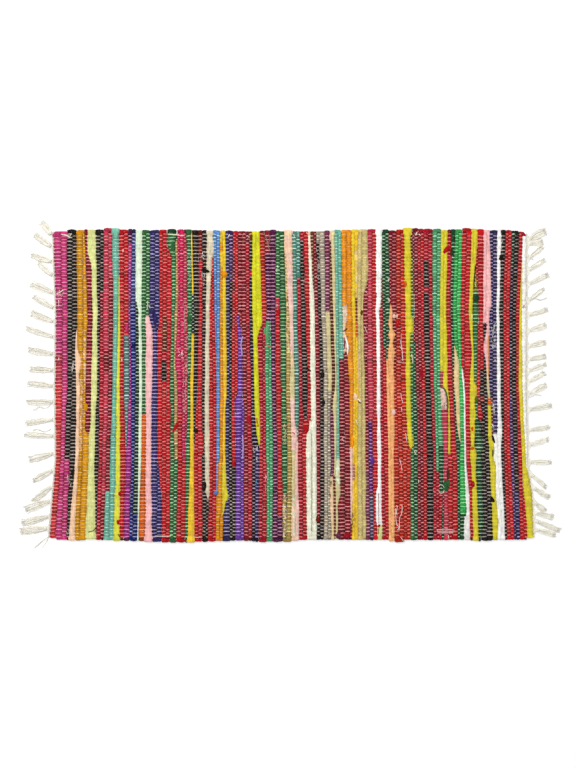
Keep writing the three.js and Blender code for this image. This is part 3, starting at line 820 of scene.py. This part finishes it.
# Where a rag puffs up over its neighbours or its end works out: dye, width, and its path
puffs = [
    ("magenta", 7, (-449, 284), (-440, 287), (-430, 290)),
    ("magenta", 7, (-431, 281), (-440, 284), (-449, 283)),
    ("black", 7, (-411, -157), (-411, -176)),
    ("mustard", 8, (-401, 96), (-392, 95)),
    ("mustard", 9, (-386, -35), (-386, -50)),
    ("teal", 11, (-329, 294), (-329, 276)),
    ("scarlet", 6, (-325, -255), (-325, -266)),
    ("scarlet", 6, (-322, -203), (-322, -210)),
    ("palePink", 3, (-315, 258), (-315, 252)),
    ("magenta", 6, (-308, 117), (-308, 99)),
    ("royal", 8, (-295.5, 84), (-295.5, 66)),
    ("navyBlue", 13, (-266, 137.5), (-259, 138), (-252, 137)),
    ("navyBlue", 9, (-254, 138), (-253, 112)),
    ("forest", 9, (-222, 276), (-220, 248)),
    ("scarlet", 6, (-211, -66), (-213, -76), (-218, -85), (-225, -89)),
    ("forest", 9, (-190, 140), (-190, 114)),
    ("forest", 6, (-189, 71), (-189, 60)),
    ("gold", 5, (-187, 62), (-182, 56)),
    ("black", 9, (-178, -82), (-177, -91)),
    ("black", 10, (-162, 224), (-160, 212)),
    ("black", 8, (-161, -181), (-161, -202)),
    ("black", 6, (-160, 217), (-150, 214.5)),
    ("cornflower", 9, (-137.8, -200), (-137.8, -209)),
    ("amber", 12, (-123, 217), (-123, 202)),
    ("yellow", 9, (-120, -203), (-119, -220)),
    ("scarlet", 8, (-105, -140), (-105, -157)),
    ("crimson", 10, (-75.5, -56), (-75.5, -75)),
    ("brown", 5, (-72, 288), (-72, 273)),
    ("sage", 4, (-46, 110), (-46, 95)),
    ("sage", 7, (-42, 122), (-42, 73)),
    ("scarlet", 9, (-20.5, 146), (-20.5, 132)),
    ("scarlet", 6, (-19, -9), (-11.5, -9.5)),
    ("deepTeal", 8, (18, 217), (18, 201)),
    ("crimson", 5, (28, 257), (28, 243)),
    ("black", 4, (32, 34), (42, 25)),
    ("scarlet", 13, (32, -75), (32, -92)),
    ("darkRed", 9, (55.5, -248), (55.5, -262)),
    ("black", 8, (63.5, 27), (63.5, 13)),
    ("black", 8, (65, -28), (65, -40)),
    ("plum", 13, (88.5, -284), (94, -285), (100, -284.5)),
    ("crimson", 11, (104, -285), (111, -285.5), (119, -285)),
    ("plum", 2.5, (105.3, 93), (106, 66)),
    ("white", 4, (108, 92), (111.5, 75), (111, 57)),
    ("orange", 8, (120, -93), (120, -120)),
    ("peach", 8, (126, -14), (126, -31)),
    ("maroon", 2.5, (130.5, -29), (136.5, -36)),
    ("white", 3, (131, -26), (137, -33)),
    ("brown", 5, (138, 143), (138, 132)),
    ("violet", 9, (158, -135), (158, -152)),
    ("scarlet", 5, (171, -264), (171, -271)),
    ("palePink", 8, (198.5, -46), (198.5, -57)),
    ("palePink", 7, (200, 135), (200, 126)),
    ("peach", 4, (205, 135), (205, 127)),
    ("scarlet", 8, (206.5, 125), (206.5, 107)),
    ("burntOrange", 5, (221, 200), (221, 185)),
    ("palePink", 3, (242.5, 291), (242.5, 284)),
    ("crimson", 8, (252, 37), (252, 6)),
    ("forest", 13, (293, -192), (300, -187), (306.5, -184)),
    ("forest", 12, (297, -191.5), (297, -203)),
    ("darkBrown", 6.5, (302.5, -158), (302.5, -180)),
    ("rose", 6, (307, 246), (307, 234)),
    ("scarlet", 9, (309, 268), (300, 258), (292, 250)),
    ("darkGreen", 7, (310.5, 259), (310.5, 246)),
    ("darkGreen", 8, (311.5, 286), (311.5, 271)),
    ("brightGreen", 6, (333, -230), (333, -246)),
    ("burntOrange", 7, (345, -120.5), (352, -120.5)),
    ("paleLemon", 3.5, (347.5, 136), (347.5, 122)),
    ("burntOrange", 4.7, (348, -78), (348, -88)),
    ("scarlet", 6, (349.7, -181), (349.7, -197)),
    ("darkGreen", 12, (355, 175), (355, 156)),
    ("olive", 7, (356.5, -21), (356.5, -33)),
    ("black", 7, (381, -210), (391, -224)),
    ("black", 4.5, (385.5, -95), (388.5, -103), (391, -111.5)),
    ("olive", 3, (387, -120), (386.5, -139)),
    ("white", 8, (400, 281), (400, 257)),
    ("black", 10, (403, 247), (403, 236)),
    ("blackGreen", 6, (431, 285), (437, 285)),
    ("crimson", 6, (438, 291), (450, 283)),
]

# A puff swells from its ends to its middle
puff = dict(steps=7, endHeight=3.4, rise=2.1, half=1.6, sideways=0.25, crumple=0.1, shadeSpread=0.06)


def puffTube(dye, width, *path):
    steps = puff["steps"]
    flat = smoothPath([(*place, 0) for place in path], steps)
    swell = np.sin(np.linspace(0.16, math.pi - 0.16, steps)) ** 0.5
    flat[:, 2] = puff["endHeight"] + puff["rise"] * swell
    flat[:, :2] += puff["sideways"] * rng.normal(0, 1, (steps, 2))
    shade = linearOf(dyes[dye]) * (1 + puff["shadeSpread"] * rng.normal(0, 1, (steps, 8, 1)))
    # painted shade: the puff takes the rag's corner shade, softened
    shade *= np.sqrt(ragShade)[:, None]
    return sweep(flat, width / 2 * swell, puff["half"] * swell, ragSection, shade, puff["crumple"])


puffPiece = joinTubes("rag_ends", [puffTube(*row) for row in puffs], ragMaterial)

# Stray threads and slivers on top of the weave: dye, half width, and the path
threads = [
    ("ivory", 0.8, (-442, 174), (-436, 175.5), (-428, 181)),
    ("ivory", 0.5, (-437, 163), (-437.5, 148)),
    ("ivory", 0.8, (-434, 287), (-425, 284.5), (-418, 281), (-412, 280)),
    ("ivory", 0.6, (-431, 286), (-423, 285), (-416, 283), (-413, 288)),
    ("black", 0.7, (-382, -280), (-373, -277), (-365, -270)),
    ("black", 0.7, (-325, -283), (-318, -293)),
    ("black", 0.5, (-315, 252), (-313, 246)),
    ("palePink", 0.8, (-268, 161), (-269, 144)),
    ("ivory", 0.7, (-254.6, -287), (-240, -287.5), (-224, -287)),
    ("ivory", 0.7, (-230, 286), (-214, 285), (-198, 284)),
    ("ivory", 0.7, (-180, -289), (-165, -289)),
    ("white", 0.7, (-116, 281), (-112, 287)),
    ("lilac", 1.2, (-88, 92), (-91, 78), (-89.5, 65), (-89, 55)),
    ("lilac", 1.2, (-88, -95), (-87, -118), (-88, -140)),
    ("brick", 0.7, (-62, -62), (-58, -80)),
    ("grey", 0.6, (-48, 290), (-44, 280), (-40, 268), (-37, 255)),
    ("dustyRose", 1.6, (-43, 76), (-38, 73), (-33, 71)),
    ("grey", 0.5, (-40, 288), (-36, 280), (-38, 271), (-42, 275)),
    ("scarlet", 0.8, (5.7, -90), (9.5, -91), (11.4, -97)),
    ("peach", 1, (33, 290), (36, 287), (40, 283)),
    ("grey", 0.5, (43, -90), (43.5, -180), (43, -280)),
    ("black", 0.9, (103, 101), (111, 108)),
    ("white", 0.7, (107, 95), (110, 75), (112, 57)),
    ("pink", 0.7, (108, -99), (102.5, -100), (100.7, -103), (103, -106), (108, -106)),
    ("ivory", 0.7, (126, -65), (129, -70), (132, -77)),
    ("peach", 0.7, (131.5, 60), (132.5, 20), (133.5, -12)),
    ("pink", 0.7, (140, 180), (145, 178), (150, 172)),
    ("pink", 0.7, (143, 112), (149, 98)),
    ("maroon", 0.5, (170, -205), (170.5, -245), (170, -285)),
    ("white", 0.5, (202, -234), (204, -262), (209, -270), (206, -276)),
    ("white", 0.5, (203, -230), (206, -230), (204, -241), (206, -249)),
    ("palePink", 0.5, (205, 106), (213, 107)),
    ("palePink", 0.5, (206, 43), (222, 42)),
    ("white", 0.5, (210, -140), (213, -152), (215, -165)),
    ("white", 0.5, (210, 74), (212, 71), (215, 67)),
    ("white", 0.5, (211, -228), (215, -230), (214, -243), (210, -253), (210, -266), (209, -277)),
    ("white", 0.5, (212, 85), (215, 65), (216, 45)),
    ("white", 0.5, (212, -16), (216, -35)),
    ("white", 0.5, (212, -289), (218.5, -298)),
    ("palePink", 0.5, (213, 98), (213, 75), (215, 68)),
    ("white", 0.5, (214, -42), (214, -52)),
    ("white", 0.5, (221, -90), (224, -107)),
    ("ivory", 0.7, (233, 60), (236, 40)),
    ("ivory", 0.6, (238, -125), (240, -131), (242, -125)),
    ("white", 0.7, (240, 284), (243, 289)),
    ("ivory", 0.7, (246, -180), (246, -187)),
    ("white", 0.7, (246, 287), (250, 284)),
    ("pink", 0.8, (280, -275), (297, -274), (315, -276)),
    ("pink", 0.8, (281, -278), (298, -277.5), (314, -279)),
    ("pink", 0.8, (283, -281), (300, -280.5), (312, -281)),
    ("ivory", 0.5, (284, -192), (289, -189), (295, -195), (294, -203), (288, -206), (284, -200)),
    ("forest", 1.3, (288.8, -4), (296.4, -9.5), (301.2, -28.5), (301.2, -45.6)),
    ("ivory", 0.7, (302.5, -285), (303.6, -292)),
    ("black", 0.9, (355, 230), (352, 205), (351, 182)),
    ("amber", 1.1, (379, 93), (380, 60), (379.5, 20)),
    ("darkRed", 1, (371, 118), (377, 113)),
    ("darkRed", 1, (371, 112), (376, 106)),
    ("magenta", 0.7, (425, -191), (428, -196)),
]
stray = dict(height=6.1, ripple=0.25, endDrop=1.2, sideways=0.2, stepMm=2.2, fewest=5, most=34,
             flatness=0.8, shadeSpread=0.05)


def threadTube(dye, half, *path):
    ripples = sum(math.dist(a, b) for a, b in zip(path, path[1:])) / stray["stepMm"]
    steps = int(min(max(ripples, stray["fewest"]), stray["most"]))
    flat = smoothPath([(*place, 0) for place in path], steps)
    flat[:, 2] = stray["height"] + stray["ripple"] * np.sin(np.linspace(0, ripples, steps))
    flat[[0, -1], 2] -= stray["endDrop"]
    flat[:, :2] += stray["sideways"] * rng.normal(0, 1, (steps, 2))
    shade = linearOf(dyes[dye]) * (1 + stray["shadeSpread"] * rng.normal(0, 1, (steps, 1)))
    return sweep(flat, half, half * stray["flatness"], yarnSection, shade)


# Patches of frayed fibre: dye, the box they lie in as x0, x1, y0, y1, and how many
frays = [
    ("ivory", -442, -428, 168, 182, 9), ("white", -438, -436, 49, 53, 3),
    ("ivory", -425, -408, -290, -270, 10), ("ivory", -421.8, -413, -194, -171, 8),
    ("white", -413, -409, 25, 43, 9), ("peach", -393, -387, -60, 240, 46),
    ("white", -319, -317, 46, 54, 4), ("white", -266, -264, 148, 152, 3),
    ("white", -212, -202, 56, 71, 12), ("blush", -203, -192, -47, 161, 26),
    ("palePink", -202, -195, -53, 9, 24),
    ("palePink", -201, -193, 98, 161, 22), ("palePink", -201, -194, 9, 43, 14),
    ("white", -195, -190, 20, 150, 14),
    ("white", -193.8, -186, 190, 243, 14), ("white", -166, -160.6, 237, 253, 8),
    ("white", -166, -161, 190, 215, 8), ("lilac", -91, -88, -47, -6, 6),
    ("palePink", -80, -75, 276, 284, 6), ("white", -68, -57, -129, -118, 8),
    ("sky", -63, -61, -190, -182, 5), ("orange", -63, -57, -80, -62, 8),
    ("white", -62, -60, -142, -138, 3), ("pink", -45, -40, -205, -165, 20),
    ("white", -25, -23, 214, 220, 3), ("white", -24, -22, 151, 157, 2),
    ("white", -23, -21, 222, 228, 3), ("beige", -12, -5, -110, -60, 34),
    ("beige", -12, -3, -285, -208, 46), ("darkGreen", -12, -3, -285, -208, 24),
    ("white", 9, 11, 279, 285, 3), ("white", 12.3, 17, -113, -77, 14),
    ("white", 16, 18, 284, 290, 3), ("ivory", 52, 60, 200, 285, 26), ("black", 70, 72, 26, 30, 3),
    ("darkBrown", 77.6, 80.6, -215, -180, 12), ("white", 103, 110, 112, 150, 20),
    ("brown", 118, 126, -268, -242, 14), ("ivory", 188, 191, 198, 205, 8),
    ("ivory", 188, 191, 160, 165, 7), ("scarlet", 230, 232, 66, 70, 4),
    ("palePink", 290, 298, -45, -8, 16), ("darkGreen", 292, 300, -53, -28, 10),
    ("white", 385.6, 389.7, -81, -74, 4), ("white", 386.3, 390.4, -55, -32, 10),
    ("white", 387, 389, -41, -35, 3), ("white", 387, 389, -83, -77, 3),
    ("white", 384, 394, 70, 125, 22), ("white", 388, 390, 99, 104, 3), ("white", 388, 390, -51, -46, 3),
    ("white", 389, 391, 108, 113, 3), ("white", 390, 392, 80, 87, 3),
    ("white", 390, 392, 42, 48, 3), ("white", 398, 405, 255, 280, 12),
    ("scarlet", 445, 447, 147, 151, 4),
]
# Short fibres, of the frayed patches and of the fluff that stands off the rags all over. Each
# one runs mostly along the rags and has its ends in the weave.
fibre = dict(height=6.2, rise=0.35, bend=0.5, shadeSpread=0.06)
frayed = dict(shortMm=3.0, longMm=8.0, half=0.42, spread=0.6)
lint = dict(count=1150, shortMm=2.5, longMm=7.0, half=0.14, spread=1.2, creamShare=0.25,
            aside=1.5, leastRag=3.0)


def fibreTube(x, y, dye, look):
    length = rng.uniform(look["shortMm"], look["longMm"])
    heading = math.pi / 2 + look["spread"] * rng.normal()
    angles = heading + rng.normal(0, fibre["bend"]) * np.linspace(-1, 1, 5)
    moves = length / 4 * np.stack([np.cos(angles), np.sin(angles)], 1)
    flat = np.concatenate([[[0, 0]], np.cumsum(moves[:-1], 0)])
    flat += np.array([x, y]) - flat.mean(0)
    arch = np.array([-2, -0.2, 0.4 + 0.3 * rng.normal(), -0.2, -2])
    path = np.concatenate([flat, (fibre["height"] + fibre["rise"] * arch)[:, None]], 1)
    shade = dye * (1 + fibre["shadeSpread"] * rng.normal())
    return sweep(path, look["half"], look["half"], threadSection, shade)


threadTubes = [threadTube(*row) for row in threads]
for dye, x0, x1, y0, y1, count in frays:
    threadTubes += [fibreTube(rng.uniform(x0, x1), rng.uniform(y0, y1), linearOf(dyes[dye]), frayed)
                    for _ in range(count)]
threadPiece = joinTubes("stray_threads", threadTubes, yarnMaterial)

lintTubes = []
for _ in range(lint["count"]):
    warp = rng.integers(2, warpCount - 2)
    rag = rng.integers(0, len(rags))
    if ragWidth[rag, warp] > lint["leastRag"]:
        dye = dyesAt(rag, warp)[0] * 0.8 + 0.1
        if rng.random() < lint["creamShare"]:
            dye = cream
        lintTubes.append(fibreTube(ragMiddle[rag, warp] + rng.normal(0, lint["aside"]),
                                   warpY[warp] + rng.normal(0, lint["aside"]), dye, lint))
lintPiece = joinTubes("lint", lintTubes, ragMaterial, perRow=8)
print("stray threads laid")

# The fringe. Each tassel is the ends of a few warps knotted close to the heading: the Y of its
# knot, how far its tip leans along Y and reaches out in X, and how full it is
tasselRows = dict(
    left=[(284, 24, 18, 1.1), (262, 23, 32, 1.1), (234, 13, 38, 1.0), (207, 24, 26, 1.0),
          (175, 17, 40, 1.0), (146, 22, 38, 1.0), (120, 17, 42, 1.0), (91, 17, 51, 0.9),
          (59, 8, 47, 1.0), (28, 2, 44, 1.0), (-2, 6, 47, 1.0), (-32, 0, 48, 1.0),
          (-65, -8, 51, 0.9), (-97, 2, 55, 0.8), (-129, -13, 45, 1.0), (-161, -21, 37, 1.0),
          (-192, -27, 35, 1.0), (-220, -17, 47, 1.0), (-249, -13, 50, 1.0), (-272, -6, 51, 1.1)],
    right=[(277, 15, 32, 1.5), (268, 4, 26, 0.9), (241, 19, 27, 0.7), (218, 19, 30, 0.9),
           (192, 17, 36, 1.0), (160, 22, 29, 0.8), (133, 9, 34, 1.0), (103, 11, 32, 1.0),
           (74, 6, 32, 1.0), (49, 4, 32, 1.0), (27, 12, 32, 0.9), (6, 17, 30, 0.9),
           (-17, 17, 32, 0.9), (-47, 8, 42, 1.0), (-85, 4, 38, 1.0), (-114, 11, 36, 1.0),
           (-146, -2, 40, 1.0), (-169, -24, 28, 0.9), (-194, -19, 30, 0.9), (-222, -17, 20, 0.9),
           (-243, -8, 34, 0.9), (-257, -20, 46, 1.0), (-274, -11, 37, 1.0)],
)
# Wisps that curl away from the tassels
wispRows = dict(
    left=[((-452, -84), (-466, -88), (-478, -83), (-488, -84)),
          ((-452, -36), (-462, -44), (-475, -42), (-486, -49)),
          ((-455, -286), (-470, -297), (-484, -309)),
          ((-456, -287), (-462, -299), (-469, -309))],
    right=[((456, 160), (468, 164), (478, 162), (489, 167)),
           ((458, -24), (468, -19), (480, -21)),
           ((455, 242), (462, 239), (466, 239))],
)
# Sizes in mm. The last three are by end, -1 for the left and 1 for the right: how wide its
# tassels fan out, and the painted light on their yarn and on the heading, darker at the left end
# and lighter at the right.
fringe = dict(
    headingTwist=6.8, headingHalf=0.95, headingOut=2.4, headingRoll=0.9, headingStep=1.6,
    tasselOut=4.3, gathered=8, gatherHalf=7.0, strands=12, strandHalf=1.05, height=2.6,
    knotAt=2.6, knotLong=6.5, knotHalf=3.9, knotWide=0.86, knotHigh=0.8, knotWraps=(0.12, 0.5),
    neck=2.9, belly=5.8, tipSpread=3.9, wave=0.8, layer=1.15, frayed=4,
    frayShort=1.5, frayLong=5.5, frayDrift=1.5, wisps=3, wispHalf=0.5,
    fan={-1: 1.12, 1: 0.95}, tone={-1: 0.96, 1: 1.07}, headingLight={-1: 0.89, 1: 1.12},
)


def edgeX(side, y):
    return float(np.interp(y, warpY[::-1], edges[0 if side < 0 else -1][::-1]))


def headingTubes(side):
    # Two yarns twined round the warp ends along the rug's end
    y = np.arange(warpY[0] + 1, warpY[-1] - 1, -fringe["headingStep"])
    turn = 2 * math.pi * y / fringe["headingTwist"]
    out, roll, half = fringe["headingOut"], fringe["headingRoll"], fringe["headingHalf"]
    tubes = []
    for phase in (0, math.pi):
        x = np.array([edgeX(side, place) for place in y]) + side * (out + roll * np.cos(turn + phase))
        z = out + roll * np.sin(turn + phase)
        # painted light: the heading darker at the left end and lighter at the right
        shade = fringeCream * (1 + 0.05 * rng.normal(0, 1, (len(y), 1))) * fringe["headingLight"][side]
        tubes.append(sweep(np.stack([x, y, z], 1), half, half, yarnSection, shade))
    return tubes


def tasselTubes(side, root, lean, reach, fullness):
    base = np.array([edgeX(side, root) + side * fringe["tasselOut"], root])
    tip = base + np.array([side * reach, lean])
    length = float(np.linalg.norm(tip - base))
    ahead = (tip - base) / length
    across = np.array([-ahead[1], ahead[0]])
    knotAt, knotLong, strandHalf = fringe["knotAt"], fringe["knotLong"], fringe["strandHalf"]
    height = fringe["height"]
    tubes = []

    def place(along, aside, z):
        return (*(base + ahead * along + across * aside), z)

    def tone():
        # painted light: darker at the left end and lighter at the right, with a random tone
        return fringeCream * fringe["tone"][side] * (1 + 0.12 * rng.random())

    # the warp ends gather from the heading
    for share in np.linspace(-1, 1, fringe["gathered"]):
        y = root + fringe["gatherHalf"] * share + 0.5 * rng.normal()
        x = edgeX(side, y)
        path = [(x + side * 1.0, y, height - 0.2), (x + side * 4.2, y, height),
                place(knotAt * 0.6, 2.6 * share, height - 0.2), place(knotAt + 2, share, height)]
        tubes.append(sweep(smoothPath(path, 8), strandHalf, strandHalf * 0.8, yarnSection, tone()))
    # the overhand knot: a core and a yarn wound aslant over it
    bulge = np.sin(np.linspace(0.35, math.pi - 0.35, 6)) ** 0.6
    wide, high = (fringe["knotHalf"] * fullness ** 0.5 * fringe[way] for way in ("knotWide", "knotHigh"))
    core = [place(knotAt + knotLong * t, 0, height) for t in np.linspace(0, 1, 6)]
    tubes.append(sweep(core, wide * bulge, high * bulge, ragSection, tone() * 0.9))
    for start in fringe["knotWraps"]:
        ring = [place(knotAt + knotLong * (start + 0.045 * a + 0.1 * math.cos(a)),
                      wide * math.cos(a), max(height + 0.1 + high * math.sin(a), 1.0))
                for a in np.linspace(0, 2 * math.pi, 11)]
        tubes.append(sweep(ring, 1.15, 1.0, yarnSection, tone()))
    # the strands, wavy and crossing, with split ends
    count = int(round(fringe["strands"] * fullness))
    order = rng.permutation(count)
    t = np.linspace(0, 1, 11)
    spread = (fringe["neck"] * (1 - t) ** 2 + fringe["belly"] * 2 * t * (1 - t)
              + fringe["tipSpread"] * t ** 1.5) * fullness * fringe["fan"][side]
    for k in range(count):
        share = 2 * k / (count - 1) - 1
        run = length * (0.9 + 0.1 * rng.random()) - knotAt - 3
        along = knotAt + 3 + run * t
        sway = fringe["wave"] * np.sin(along / (2.2 + 0.5 * rng.random()) + rng.uniform(0, 6.3)) * t
        aside = share * spread + sway + 1.3 * rng.normal() * t
        z = 0.9 + order[k] % 3 * fringe["layer"] * (1 - 0.45 * t) + 1.1 * (1 - t) ** 2
        path = [place(*spot) for spot in zip(along, aside, z)]
        half = strandHalf * (0.85 + 0.25 * rng.random()) * np.where(t < 1, 1, 0.6)
        shade = tone() * np.linspace(1, 1.02, len(t))[:, None]
        tubes.append(sweep(path, half, half * 0.85, yarnSection, shade))
        for _ in range(fringe["frayed"]):
            far = rng.uniform(fringe["frayShort"], fringe["frayLong"])
            drift = rng.normal(0, fringe["frayDrift"])
            path = [place(along[-3], aside[-3], z[-1]),
                    place(along[-1], aside[-1] + 0.4 * drift, max(z[-1] - 0.2, 0.4)),
                    place(along[-1] + far, aside[-1] + drift, 0.5 + 0.8 * rng.random())]
            tubes.append(sweep(smoothPath(path, 5), 0.32, 0.28, threadSection, tone()))
    return tubes


def wispTubes(path):
    tubes = []
    for _ in range(fringe["wisps"]):
        line = smoothPath([(x, y, 0) for x, y in path], 12)
        line[:, :2] += np.linspace(0, 1.4, 12)[:, None] * rng.normal(0, 1, 2)
        line[:, :2] += 0.3 * rng.normal(0, 1, (12, 2))
        line[:, 2] = np.linspace(2.2, 0.8, 12)
        half = fringe["wispHalf"]
        tubes.append(sweep(line, half, half * 0.84, threadSection, fringeCream * 0.97))
    return tubes


fringePieces = {}
for sideName, side in (("left", -1), ("right", 1)):
    tubes = headingTubes(side)
    for row in tasselRows[sideName]:
        tubes += tasselTubes(side, *row)
    for path in wispRows[sideName]:
        tubes += wispTubes(path)
    piece = joinTubes(f"fringe_yarns_{sideName}", tubes, yarnMaterial, perRow=2)
    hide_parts(f"fringe_{sideName}")
    fringePieces[sideName] = piece
print("fringe knotted")

for piece in (*warpPieces, threadPiece, *fringePieces.values()):
    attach(piece, "root")
for piece in (puffPiece, lintPiece):
    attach(piece, "root")
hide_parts("rug_body")


# A pale floor, a soft studio light and a camera straight above. The light's place and size and the
# floor's half width are in m.
studio = dict(cameraX=-1.9, cameraY=1.9, seenHighMm=1459.0, clothTop=5.0, lens=85.0, sky=0.58,
              key=46.0, keyPlace=(-0.9, 1.3, 2.2), keySize=1.6, floorHalf=4.0,
              floorTone=("c4c4c4", "c8c8c8"), floorGrainMm=11.0, floorGlow=0.52)


def paleFloor():
    # A matt painted board: white, even and without gloss, lifted so that it stays near white
    material, tree = newMaterial("matte_white_floor")
    place = addNode(tree, "TexCoord").outputs["Object"]
    grain = addNode(tree, "TexNoise", Vector=place, Scale=perMm(studio["floorGrainMm"]), Detail=2.0)
    low, high = (linearOf(tone)[0] for tone in studio["floorTone"])
    tone = addNode(tree, "MapRange", Value=grain, To_Min=low, To_Max=high)
    colour = addNode(tree, "CombineColor", Red=tone, Green=tone, Blue=tone)
    paint = addNode(tree, "BsdfPrincipled", Base_Color=colour, Roughness=0.9,
                    Emission_Color=(1, 1, 1, 1), Emission_Strength=studio["floorGlow"])
    addNode(tree, "OutputMaterial", Surface=paint)
    half = studio["floorHalf"]
    mesh = bpy.data.meshes.new("floor")
    mesh.from_pydata([(-half, -half, 0), (half, -half, 0), (half, half, 0), (-half, half, 0)], [],
                     [(0, 1, 2, 3)])
    mesh.materials.append(material)
    floor = bpy.data.objects.new("floor", mesh)
    scene.collection.objects.link(floor)


def softLight(name, place, size, power):
    data = bpy.data.lights.new(name, "AREA")
    data.shape = "DISK"
    data.size = size
    data.energy = power
    light = bpy.data.objects.new(name, data)
    light.location = place
    x, y, z = place
    light.rotation_euler = (math.atan2(math.hypot(x, y), z), 0, math.atan2(-y, -x) - math.pi / 2)
    scene.collection.objects.link(light)


paleFloor()
world = bpy.data.worlds.new("studio")
world.use_nodes = True
background = world.node_tree.nodes["Background"]
background.inputs["Color"].default_value = (1, 1, 1, 1)
background.inputs["Strength"].default_value = studio["sky"]
scene.world = world
softLight("key", studio["keyPlace"], studio["keySize"], studio["key"])

cameraData = bpy.data.cameras.new("camera")
cameraData.lens = studio["lens"]
camera = bpy.data.objects.new("camera", cameraData)
distance = studio["seenHighMm"] * studio["lens"] / cameraData.sensor_width + studio["clothTop"]
camera.location = ((studio["cameraX"] + chartShift[0]) * mm,
                   (studio["cameraY"] + chartShift[1]) * mm, distance * mm)
scene.collection.objects.link(camera)
scene.camera = camera
print("studio set")
